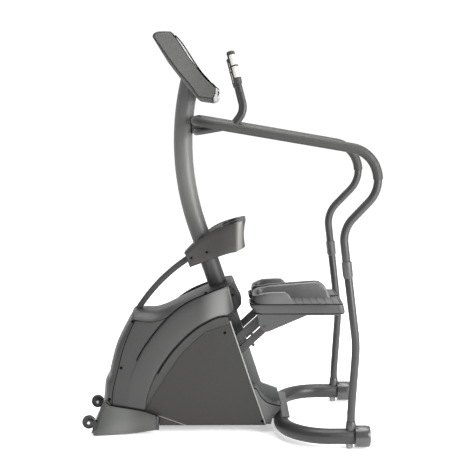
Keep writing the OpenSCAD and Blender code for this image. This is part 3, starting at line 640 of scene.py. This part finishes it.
def side_shell(side):
    """The raised band that climbs the side and wraps round the back as a hood."""
    n = 44
    top, low, panel = spline(BAND_TOP, n), spline(BAND_LOW, n), spline(PANEL_TOP, n)
    rows, recess = [], []
    for i in range(n):
        t = i / (n - 1)
        ridge = 1 - 0.75 * (1 - t) ** 1.5
        row = []
        for f, y in BAND_ACROSS:
            p = top[i].lerp(low[i], f)
            row.append((p.x, side * (side_y(p.x) - 2 + (y - 148) * ridge), p.y))
        rows.append(row)
        p, step, edge = panel[i], low[i].lerp(panel[i], 0.25), row[-1]
        recess.append([edge, (step.x, side * (abs(edge[1]) - 5), step.y),
                       (p.x, side * 133, p.y), (p.x + 3, side * 130, p.y - 3)])
    last = rows[-1]
    turn_y = 104
    for k in range(1, 9):
        a = math.pi / 2 * k / 8
        along, across = math.sin(a) ** 0.7, math.cos(a) ** 0.7
        rows.append([(x0 + (x1 - x0) * along, side * (turn_y + (abs(y0) - turn_y) * across),
                      z0 + (z1 - z0) * along) for (x0, y0, z0), (x1, z1) in zip(last, HOOD)])
    for y in (70, 35, 0.3):
        rows.append([(x + 2 * (1 - y / turn_y), side * y, z) for x, z in HOOD])
    kw = dict(slot="cover_plastic", replaces=(f"side_cover_{SIDE_WORD[side]}",))
    # The rows round the back corner form the hood, dark as painted shade; the strip under the band is
    # dark as painted shade too.
    corner = n + 1
    sheet(f"side_band_{side}", rows[:corner + 1], "band", angle=50, **kw)
    sheet(f"side_hood_{side}", rows[corner:], "hood", angle=50, **kw)
    sheet(f"band_recess_{side}", recess, "recess", angle=50, **kw)
    # Black lines: a painted shadow under the band's lower edge; along its upper edge, the seam with the
    # top cover at the back and painted shade along the crease further down.
    shade = [Vector((p.x + 2, side * (side_y(p.x) - 5), p.y - 4)) for p in low[13:]]
    seam_and_shade = [Vector((p.x - 1.6, side * (side_y(p.x) + 0.4), p.y + 2.6)) for p in top[13:]]
    tube(f"band_shade_{side}", shade, 12, "screw", n=12, ends=(0.5, 0.5), **kw)
    tube(f"band_seam_and_shade_{side}", seam_and_shade, 4.6, "screw", n=12, ends=(0.5, 0.5), **kw)

    # Plate between the band and the front cover's seam, in level rows
    rows = []
    seam, upper = list(reversed(SEAM)), [q for q in SHOULDER if q[0] > -350]
    band = [(x + 16, z - 8) for x, z in BAND_TOP]
    for z in [112 + 391 * k / 22 for k in range(23)] + [507 + 132 * k / 10 for k in range(11)]:
        x0 = curve_x(seam, z) if z < 505 else curve_x(upper, z) - 1
        x1 = curve_x(band, z)
        row = []
        for f, tuck in ((0, 5), (0.004, 1.6), (0.012, 0.4), (0.03, 0), (0.2, 0), (0.4, 0),
                        (0.6, 0), (0.8, 0), (1, 0)):
            x = x0 + (x1 - x0) * f
            row.append((x, side * (side_y(x) - (tuck if z < 505 else 0)), z))
        rows.append(row)
    sheet(f"side_plate_{side}", rows, "cover", angle=50, **kw)

    # Recessed lower panel, with a lighter strip along its rear edge as a painted highlight
    kw = dict(slot="panel_plastic", replaces=(f"lower_panel_{SIDE_WORD[side]}",))
    outline = [(-366, 98), (-366, 104), (-330, 180), (-262, 290), (-205, 372), (-118, 454), (-62, 478),
               (2, 503), (12, 501), (96, 244), (168, 33), (-300, 33), (-304, 77)]
    prism(f"lower_panel_{side}", outline, side * 127, side * 132, "panel", bevel=1.2, **kw)
    prism(f"panel_edge_{side}", [(8, 500), (12.5, 502), (97, 245), (170, 33), (164.5, 33), (92, 243)],
          side * 126, side * 133.2, "light_cover", bevel=1.0, **kw)


def panel_crease(side):
    # A light line along the panel's lower front cut: a painted highlight.
    prism(f"panel_crease_{side}", [(-303, 78.5), (-182, 34.5), (-185, 33), (-304, 76.5)], side * 130,
          side * 132.8, "light_cover", bevel=0.4, slot="panel_plastic")


def fender_seam(side):
    """Dark gap between the rear lower cover and the shroud's panel above it."""
    top = spline([(114, 197), (128, 191), (141, 166), (163, 139), (194, 124), (232, 116)], 20)
    outline = [(p.x + 1, p.y + 3.5) for p in top] + [(p.x - 1, p.y + 0.3) for p in reversed(top)]
    prism(f"fender_seam_{side}", outline, side * 121, side * 126.4, "screw", bevel=0.4,
          slot="light_plastic")


def top_shell():
    n = 56
    low, high = spline(SHOULDER, n), spline(HUMP, n)
    half = (20, 38, 52, 64, 74, 84, 94, 104, 116, 128, 138, 146, 148)
    across = [v * 0.995 for v in (*[-v for v in reversed(half)], 0, *half)]
    rows = []
    for i in range(n):
        row = []
        for y in across:
            lift = smooth((138 - abs(y)) / 78)
            crown = 3.0 * max(0, 1 - (y / 64) ** 2)
            edge = -3 if abs(y) > 146.5 else 0
            p = low[i].lerp(high[i], lift)
            row.append((p.x, y * side_y(low[i].x) / 149, p.y + crown - 3 * lift + 1.2 + edge))
        rows.append(row)
    rows.insert(0, [(x + 3, y, z - 10) for x, y, z in rows[0]])
    rows.append([(x + 8, y * 0.99, z - 14) for x, y, z in rows[-1]])
    sheet("top_shell", rows, "cover", slot="cover_plastic", angle=60, replaces=("top_cover",))
    lean = (Vector(MAST[1]) - Vector(MAST[0])).normalized()
    collar_z = 639
    at = Vector(MAST[0]) + lean * ((collar_z - MAST[0][2]) / lean.z)
    lathe("mast_collar", at, lean, [(-26, 53), (-4, 52.5), (3, 51), (6, 48), (6.5, 44), (6.2, 41.4)],
          "cover", slot="cover_plastic", replaces=("top_cover",))


def front_shell():
    n = 40
    seam, nose = spline(SEAM, n), spline(NOSE, n)
    rows = []
    for i in range(n):
        row = []
        for k in range(-16, 17):
            u = math.sin(math.pi / 2 * k / 16)
            w = max(0.0, 1 - abs(u) ** 3.2) ** (1 / 2.3)
            p = seam[i].lerp(nose[i], w)
            row.append((p.x, (side_y(seam[i].x) - 1.2) * u, p.y))
        tuck = side_y(seam[i].x) - 5
        rows.append([(row[0][0] + 5, -tuck, row[0][2])] + row + [(row[-1][0] + 5, tuck, row[-1][2])])
    rows.insert(0, [(x + 8, y * 0.985, z - 3) for x, y, z in rows[0]])
    sheet("front_shell", rows, "cover", slot="cover_plastic", angle=50, replaces=("front_cover",))


def cover_seams(side):
    """Dark gaps where the top and front covers meet the side covers."""
    for tag, curve, d in (("shoulder", [q for q in SHOULDER if q[0] < -200], 2.6), ("nose", SEAM, 3.0)):
        line = [Vector((p.x + 1, side * (side_y(p.x) - 0.4), p.y)) for p in spline(curve, 30)]
        tube(f"{tag}_seam_{side}", line, d, "screw", n=10, ends=(0.4, 0.4),
             slot="cover_plastic")


def foot_shell():
    stations = [((-300, 151, 79), (-304, 153, 20)), ((-366, 150, 103), (-407, 160, 7)),
                ((-450, 149.5, 118), (-500, 170, 3)), ((-512, 149, 129), (-556, 175, 2)),
                ((-529, 148, 142), (-578, 175.5, 2)), ((-538, 143, 149), (-588, 171, 3)),
                ((-542, 130, 148), (-592, 158, 4)), ((-546, 108, 136), (-597, 125, 6)),
                ((-551, 78, 120), (-600, 80, 8)), ((-555, 40, 108), (-602, 40, 9)),
                ((-556, 0, 104), (-603, 0, 10))]
    top = spline([a for a, b in stations], 46)
    low = spline([b for a, b in stations], 46)

    def column(a, b, sign):
        out = []
        for f, push in ((0, 0), (0.03, 1.5), (0.1, 2.5), (0.5, 4.0), (0.82, 3.5), (0.95, 1.0), (1, -3)):
            p = a.lerp(b, f)
            front = smooth((-p.x - 520) / 60)
            p = p + Vector((-push * front, push * (1 - front), 0))
            out.append((p.x, sign * p.y, max(p.z, 2)))
        inner = a + Vector((12 * smooth((-a.x - 500) / 40), -10 * (1 - smooth((-a.x - 535) / 12)), -1))
        return [(inner.x, sign * max(inner.y, 0), inner.z)] + out
    rows = [column(a, b, -1) for a, b in zip(top, low)]
    rows += [column(a, b, 1) for a, b in reversed(list(zip(top, low))[:-1])]
    sheet("foot_shell", rows, "foot", solid=3, slot="cover_plastic", angle=45,
          replaces=("front_foot_cover",))
    # Black lines down the cover's front and rear edges are painted shade; the one along its top is the
    # seam with the shroud.
    corners = (("front", (-542, 134, 147), (-594, 161, 8)), ("rear", (-300, 151, 78), (-304, 154, 20)))
    for sign in (LEFT, RIGHT):
        seam = [Vector((p.x, sign * (p.y + 0.5), p.z + 1)) for p in top[:28]]
        for tag, a, b in corners:
            edge = [Vector((x, sign * y, z)) for x, y, z in (a, lerp(a, b, 0.5), b)]
            tube(f"foot_{tag}_edge_{sign}", edge, 5, "screw", n=10, ends=(1, 1), slot="cover_plastic")
        tube(f"foot_seam_{sign}", seam, 4, "screw", n=10, ends=(0, 0), slot="cover_plastic")


def on_cover(side, x, z, names):
    """Outermost point of the named covers at (x, z), looking in from the side, and its normal."""
    best = None
    for name in names:
        hit, at, normal, _ = bpy.data.objects[name].ray_cast(
            Vector((x * MM, side * 0.3, z * MM)), Vector((0, -side, 0)))
        if hit and (best is None or side * at.y > side * best[0].y):
            best = (at / MM, normal)
    return best or (Vector((x, side * 150, z)), Vector((0, side, 0)))


def screws():
    bpy.context.view_layer.update()

    def dots(side):
        covers = ["top_shell", "front_shell", f"side_plate_{side}", f"side_band_{side}",
                  f"side_hood_{side}"]
        sites = [on_cover(side, x, z, covers)
                 for x, z in ((-411, 501), (-248, 527), (-96, 619), (-463, 296), (-516, 154))]
        sites += [on_cover(side, x, z, [f"lower_panel_{side}"]) for x, z in ((-12, 448), (152, 52))]
        sites.append(on_cover(side, 22, 618, [f"side_hood_{side}", f"side_band_{side}"]))
        for j, (origin, axis) in enumerate(sites):
            lathe(f"screw_{side}_{j}", origin, axis,
                  [(-3, 6.4), (1.0, 6.4), (1.7, 6.0), (2.0, 4.8), (1.5, 3.7), (0.9, 2.6), (0.8, 0)],
                  "screw", n=20, slot="screw_black", replaces=("cover_screws",))
    both(dots)


def wheels():
    def one(side):
        c = Vector((-605, side * 156, 58.7))  # the axle's middle
        lathe(f"wheel_tyre_{side}", c, (0, side, 0),
              [(-11, 4.3), (-11, 11), (-6, 11.5), (-5, 21.5), (-8.4, 23), (-9, 26), (-6.5, 29),
               (-2.5, 30), (2.5, 30), (6.5, 29), (9, 26), (8.4, 23), (5, 21.5), (6, 11.5), (11, 11),
               (11, 4.3)], "wheel", n=56, body=f"{SIDE_WORD[side]}_wheel",
              slot="wheel_plastic", replaces=(f"wheel_{SIDE_WORD[side]}",))
        for end in (-1, 1):
            lathe(f"wheel_bolt_{side}_{end}", c, (0, end, 0),
                  [(14.2, 4.2), (14.5, 6.4), (16.6, 6.4), (17.6, 5.4), (17.8, 3), (17.8, 0)],
                  "bright_trim", n=24, slot="black_paint")
    both(one)


both(side_shell)
both(panel_crease)
both(fender_seam)
both(cover_seams)
top_shell()
front_shell()
foot_shell()
screws()
wheels()

# ---------------------------------------------------------------- bottle holder

# Each station: (x, z) of the rim, (x, z) of the bottom edge, half width
HOLDER = [((-188, 785), (-165, 720), 44), ((-172, 802), (-154, 726), 49),
          ((-140, 832), (-125, 737), 53), ((-100, 865), (-90, 753), 64), ((-60, 892), (-55, 768), 83),
          ((-20, 909), (-20, 782), 99), ((12, 919), (12, 792), 104), ((36, 926), (38, 797), 104)]
POCKET_X, POCKET_Y = 16, 50
# The rear corner: its rim, its bottom edge, half width, and corner radius
HOLDER_CORNER = ((80, 937), (78, 813), 104, 42)


def holder(side):
    kw = dict(slot="holder_plastic", replaces=(f"holder_{SIDE_WORD[side]}",))
    cols = []
    near = spline([(a[0], y, a[1]) for a, b, y in HOLDER], 22)
    low = spline([(b[0], y - 3, b[1]) for a, b, y in HOLDER], 22)
    pairs = [(p, q, 0) for p, q in zip(near, low)]
    (tx, tz), (bx, bz), w, r = HOLDER_CORNER
    for k in range(1, 10):
        a = math.pi / 2 * k / 9
        x, y = tx - r + r * math.sin(a), w - r + r * math.cos(a)
        pairs.append((Vector((x, y, 926 + (x - 38) * 0.26)),
                      Vector((x - 2, y - 3, 797 + (x - 38) * 0.4)), math.sin(a)))
    for y in (45, 30, 15, 0.3):
        pairs.append((Vector((tx, y, tz + (62 - y) * 0.02)), Vector((bx, y, bz)), 1))
    for p, q, rear in pairs:
        col = []
        inward = Vector((-3.5 * rear, -3.5 if rear < 0.9 else 0, 0))
        for f, push in ((-0.012, 1), (0.0, 0.35), (0.03, 0), (0.25, 0), (0.5, 0), (0.75, 0),
                        (0.95, 0), (0.985, 0.3), (1.0, 1.2)):
            c = p.lerp(q, max(0, f))
            if f < 0:
                c = p + Vector((0, 0, -3))
            c = c + inward * push
            c.x -= 7 * rear * math.sin(math.pi * min(1, max(0, f)))
            col.append((c.x, side * max(c.y, 0.3), c.z))
        cols.append(col)
    cols.insert(0, [(x + 1, 0.3 * side, z) for x, y, z in cols[0]])
    sheet(f"holder_side_{side}", cols, "holder", solid=4, angle=40, **kw)

    def deck_z(x):
        return 905 + (x + 20) * 0.33 - 1.5

    # Top deck with its round pocket, and the underside, both in the dark recess material as painted
    # shade
    def deck(tag, ring_at, level, hole_r):
        bm = bmesh.new()
        outer = [point(bm, c) for c in ring_at]
        edges = [bm.edges.new((outer[i], outer[(i + 1) % len(outer)])) for i in range(len(outer))]
        if hole_r:
            hole = []
            for u, v in circle(hole_r, 40):
                x, y = POCKET_X + u, side * POCKET_Y + v
                hole.append(point(bm, (x, y, level(x))))
            edges += [bm.edges.new((hole[i], hole[(i + 1) % 40])) for i in range(40)]
        bmesh.ops.triangle_fill(bm, use_beauty=True, use_dissolve=False, edges=edges)
        finish_mesh(f"holder_{tag}_{side}", bm, "recess", angle=30, **kw)

    top = [(p.x - (3 if i > 22 else 0), side * max(0.3, p.y - 3), p.z - 2.6)
           for i, (p, q, rear) in enumerate(pairs)]
    deck("deck", top + [(top[0][0], side * 0.3, top[0][2])], deck_z, 38)
    under = [(q.x - (3 if i > 22 else 0), side * max(0.3, q.y - 4), q.z + 1.5)
             for i, (p, q, rear) in enumerate(pairs)]
    deck("base", under + [(under[0][0], side * 0.3, under[0][2])], None, 0)

    bm = bmesh.new()
    rings = []
    for r, drop in ((41.5, 0.2), (41.5, 2.2), (40.2, 3.2), (38.4, 2.6), (37.8, 0), (37.6, -30),
                    (37.6, -96), (35, -99), (0.01, -99)):
        rings.append([Vector((POCKET_X + u, side * POCKET_Y + v,
                              (deck_z(POCKET_X + u) if drop > -90 else 913) + drop))
                      for u, v in circle(r, 48)])
    skin(bm, rings, caps=False)
    finish_mesh(f"holder_pocket_{side}", bm, "holder", angle=40, **kw)
    for j, (x, y, z) in enumerate(((-158, 51, 764), (-91, 68, 792))):
        lathe(f"holder_screw_{side}_{j}", Vector((x, side * (y - 1), z)), (-0.15 * (j + 1), side, 0),
              [(-1, 5), (1.4, 5), (2, 4.4), (2.2, 3.4), (1.4, 2.6), (1.2, 0)], "screw", n=20,
              slot="holder_plastic")


# ---------------------------------------------------------------- pedals

def rounded_box(x0, x1, y0, y1, r_front, r_back, z, n=7):
    """Plan outline with rounded corners, going round from the back right corner."""
    ring = []
    for cx, cy, a0, r in ((x1 - r_back, y1 - r_back, 0, r_back),
                          (x0 + r_front, y1 - r_front, 90, r_front),
                          (x0 + r_front, y0 + r_front, 180, r_front),
                          (x1 - r_back, y0 + r_back, 270, r_back)):
        for k in range(n):
            a = math.radians(a0 + 90 * k / (n - 1))
            ring.append(Vector((cx + r * math.cos(a), cy + r * math.sin(a), z)))
    return ring


PEDAL_Y = 100
DECK_Z = 580
WALL_Y = 78.3
TOE_X, TOE_TURN = 150, 42


def pedal(side):
    body = f"{SIDE_WORD[side]}_pedal"
    c = side * PEDAL_Y
    kw = dict(body=body, slot="pedal_plastic", replaces=(f"pedal_{SIDE_WORD[side]}",))
    on_mat = dict(angle=35, body=body, slot="mat_rubber",
                  replaces=(f"pedal_mat_{SIDE_WORD[side]}",))
    # Each level: z, front x, back x, half width, front and back corner radius
    levels = [(533, 130, 472, 74, 30, 14), (535, 122, 490, 76, 34, 16),
              (539, 115, 502, 78.5, 38, 18), (547, 112, 505.5, 79.8, 40, 20),
              (560, 102, 503, 79.8, 42, 20), (570, 95, 500, 79.8, 44, 20),
              (579, 94, 497, 79.8, 44, 20), (582, 94.8, 495, 79, 44, 19),
              (583.2, 96.5, 492, 77.5, 43, 18), (583.2, 100, 487, 74, 40, 16),
              (580.5, 101.5, 485.5, 72.5, 39, 15)]
    bm = bmesh.new()
    skin(bm, [rounded_box(x0, x1, c - w, c + w, rf, rb, z) for z, x0, x1, w, rf, rb in levels])
    finish_mesh(f"pedal_tray_{side}", bm, "pedal", angle=35, **kw)

    keel = [(126, 540), (133, 498), (141, 476), (153, 462.5), (164, 460.5), (176, 462), (336, 531),
            (350, 538)]
    prism(f"pedal_keel_{side}", keel, c - 77.5, c + 77.5, "pedal", bevel=7, segments=4, **kw)

    # One wall runs from the outer wing round the toe to the long inner wall
    path = []
    for x, top in ((286, 584), (278, 597), (268, 615), (259, 627), (246, 634.5), (215, 635),
                   (180, 633.5), (155, 631)):
        path.append((x, c + side * WALL_Y, top, 7))
    for k in range(1, 8):
        a = math.pi / 2 * k / 8
        path.append((TOE_X - TOE_TURN * math.sin(a), c + side * (33.3 + 44 * math.cos(a)),
                     630 - 15 * math.sin(a), 7 + 12 * k / 8))
    for y in (20, 0, -20):
        path.append((107.4, c + side * y, 614, 21))
    for k in range(1, 8):
        a = math.pi / 2 * k / 8
        path.append((TOE_X - TOE_TURN * math.cos(a), c - side * (33.3 + 44 * math.sin(a)),
                     614 + 15 * math.sin(a), 20 - 12 * k / 8))
    for x, top in ((160, 631), (180, 635.5), (230, 639.5), (300, 645), (360, 649.5), (390, 651),
                   (406, 649), (421, 641), (435, 627), (445, 608), (454, 584)):
        path.append((x, c - side * WALL_Y, top, 8))
    line = [Vector((x, y, 0)) for x, y, top, t in path]
    middle = Vector((290, c, 0))
    bm, rings = bmesh.new(), []
    for i, (x, y, top, t) in enumerate(path):
        d = (line[min(i + 1, len(path) - 1)] - line[max(i - 1, 0)]).normalized()
        inward = Vector((0, 0, 1)).cross(d) * (-side)
        if inward.dot(middle - line[i]) < 0:
            inward = -inward
        h = max(top - DECK_Z, 3)
        prof = [(0, 0), (0, 0.6 * h), (0.6, h - 4), (1.6, h - 1.4), (3.2, h), (t * 0.5, h - 0.5),
                (t * 0.8, h - 2.5), (t, h - 6), (t * 1.12, 0.6 * h), (t * 1.5, 0)]
        rings.append([line[i] + inward * u + Vector((0, 0, DECK_Z + max(v, 0))) for u, v in prof])
    skin(bm, rings)
    finish_mesh(f"pedal_wall_{side}", bm, "pedal_wall", angle=42, **kw)
    # A light line just inside the wall's top edge: a painted highlight.
    rim = []
    for x, y, top, t in path[4:-5]:
        toward = (middle.xy - Vector((x, y))).normalized() * 2.6
        rim.append(Vector((x + toward.x, y + toward.y, top - 0.4)))
    tube(f"pedal_rim_{side}", rim, 2.6, "rim", up=(0, 0, 1), n=10, ends=(0.4, 0.4), **kw)

    # Dark joint lines round the tray
    lines = ((581.2, 93.8, 496.4, 79.95, 44, 19), (541, 114, 503.6, 79.3, 38, 18))
    for j, (z, x0, x1, w, rf, rb) in enumerate(lines):
        bm = bmesh.new()
        skin(bm, [rounded_box(x0, x1, c - w, c + w, rf, rb, z + dz) for dz in (-1.7, 1.7)])
        finish_mesh(f"pedal_line_{side}_{j}", bm, "screw", angle=35, **kw)

    # Anti-slip deck: a grainy pad with raised bars
    bm = bmesh.new()
    skin(bm, [rounded_box(150, 484, c - 68, c + 68, 12, 12, z) for z in (580, 583.6)]
         + [rounded_box(151, 483, c - 67, c + 67, 11.5, 11.5, 584.2)])
    finish_mesh(f"pedal_pad_{side}", bm, "mat", **on_mat)
    for j in range(10):
        x = 166 + 32 * j
        bm = bmesh.new()
        skin(bm, [rounded_box(x, x + 16, c - 62, c + 62, 5, 5, z) for z in (583, 585.4)]
             + [rounded_box(x + 0.8, x + 15.2, c - 61.2, c + 61.2, 4.5, 4.5, 586)])
        finish_mesh(f"pedal_bar_{side}_{j}", bm, "mat", **on_mat)
    for y in (-1, 1):
        lathe(f"pedal_bolt_{side}_{y}", Vector((158, c + y * 77.2, 485)), (0, y, 0),
              [(-1, 7), (1.2, 7), (1.9, 6.2), (2.1, 4), (1.2, 3.4), (1.0, 0)],
              "frame_paint", n=24, **kw)


# ---------------------------------------------------------------- console

OUTER_FRONT = [(-228, 1729.6), (-212, 1714), (-183, 1681), (-129, 1599), (-81, 1535), (-33, 1493)]
FACE = [(-300, 1708), (-298, 1714), (-292, 1718.5), (-262, 1721), (-231, 1719.5), (-213, 1700),
        (-158, 1617), (-100, 1546), (-52, 1500), (-53, 1478), (-61, 1457), (-117, 1464), (-154, 1514),
        (-200, 1568), (-246, 1630)]
HOUSING = [(-308, 1706), (-306, 1716), (-299, 1723), (-285, 1728.5), (-262, 1730), (-232, 1729),
           (-220, 1717), (-188, 1678), (-134, 1596), (-86, 1532), (-38, 1490), (-33, 1480), (-36, 1452),
           (-46, 1441), (-62, 1436), (-112, 1443), (-132, 1462), (-196, 1540), (-244, 1602)]


def console():
    kw = dict(slot="console_plastic", replaces=("console_housing",))
    prism("console_shell", HOUSING, -206, 206, "console", bevel=4, segments=4, **kw)
    fine = spline(OUTER_FRONT[1:], 24)
    back = spline([(-216, 1710), (-188, 1676), (-134, 1594), (-86, 1530), (-37.5, 1488)], 24)
    prism("console_screen", [(p.x, p.y) for p in fine] + [(p.x, p.y) for p in reversed(back)],
          -209, 209, "glass", bevel=1.2, slot="screen_gloss", replaces=("console_glass",))
    inner = [(p.x, p.y) for p in inset_strip(fine, 5.5)]
    face_edge = [(-52, 1500), (-100, 1546), (-158, 1617), (-213, 1700), (-228, 1720)]
    bezel = [(-223, 1724)] + inner + [(-48, 1497)] + [(x + 2.6, z + 2.2) for x, z in face_edge]
    toe = [(-49, 1500), (-37, 1491), (-31, 1483), (-34, 1456), (-41, 1446), (-56, 1440), (-58, 1456),
           (-50, 1477)]
    socket = [(-39, 1487), (-32.5, 1484), (-34.5, 1468), (-39.5, 1470)]

    def end(side):
        def plate(tag, outline, start, stop, material, bevel, **more):
            prism(f"console_{tag}_{side}", outline, side * start, side * stop, material,
                  bevel=bevel, **more, **kw)
        plate("gasket", grow(FACE, 3.2), 200, 209, "console_dark", 0.8)
        plate("end", FACE, 200, 214.6, "console", 2.2, segments=3)
        plate("bezel", bezel, 203, 213.4, "bright_trim", 1.0)
        plate("toe", toe, 203, 214.2, "bright_trim", 2.0)
        plate("slot", socket, 203, 214.9, "console_dark", 0.6)
    both(end)


def inset_strip(line, d):
    """The same open curve moved sideways by d, towards the housing."""
    out = []
    for i, p in enumerate(line):
        t = (line[min(i + 1, len(line) - 1)] - line[max(i - 1, 0)]).normalized()
        out.append(p + Vector((t.y, -t.x, 0)) * d)
    return out


def grow(outline, d):
    """Closed outline with every corner moved out by d."""
    corners = [Vector(p) for p in outline]
    n, out = len(corners), []
    middle = sum(corners, Vector((0, 0))) / n
    for i, p in enumerate(corners):
        t = (corners[(i + 1) % n] - corners[i - 1]).normalized()
        normal = Vector((t.y, -t.x))
        if normal.dot(p - middle) < 0:
            normal = -normal
        out.append(tuple(p + normal * d))
    return out


both(holder)
both(pedal)
console()

# ---------------------------------------------------------------- CAD nodes that stay as they are

# The record's slots whose material has another name here
SLOT_MATERIAL = {
    "cover_plastic": "cover", "light_plastic": "fender", "panel_plastic": "panel",
    "cap_rubber": "cap", "foot_rubber": "rubber", "wheel_plastic": "wheel", "belt_rubber": "rubber",
    "flywheel_iron": "steel", "pulley_metal": "steel", "pedal_plastic": "pedal",
    "mat_rubber": "mat", "screw_black": "screw", "holder_plastic": "holder",
    "clamp_metal": "clamp", "grip_rubber": "grip", "sensor_steel": "sensor",
    "sleeve_metal": "sleeve", "console_plastic": "console", "screen_gloss": "glass",
}
# Edge radii, in mm, of the plain welded and moulded pieces
EASED = {"rear_post": 2.0, "upper_arm_left": 2.2, "upper_arm_right": 2.2, "lower_link_left": 2.2,
         "lower_link_right": 2.2, "rear_lower_cover": 1.2, "bar_clamp": 2.5, "drive_frame": 0.8,
         "base_frame": 1.5, "pedal_bracket_left": 0.8, "pedal_bracket_right": 0.8}
for part in frame["record"]["subparts"]:
    node = frame["nodes"][part["node"]]
    node.data.materials.clear()
    slot = part["material_slot"]
    node.data.materials.append(MAT[SLOT_MATERIAL.get(slot, slot)])
    if part["node"] in EASED:
        round_edges(node, EASED[part["node"]], 3, 40)
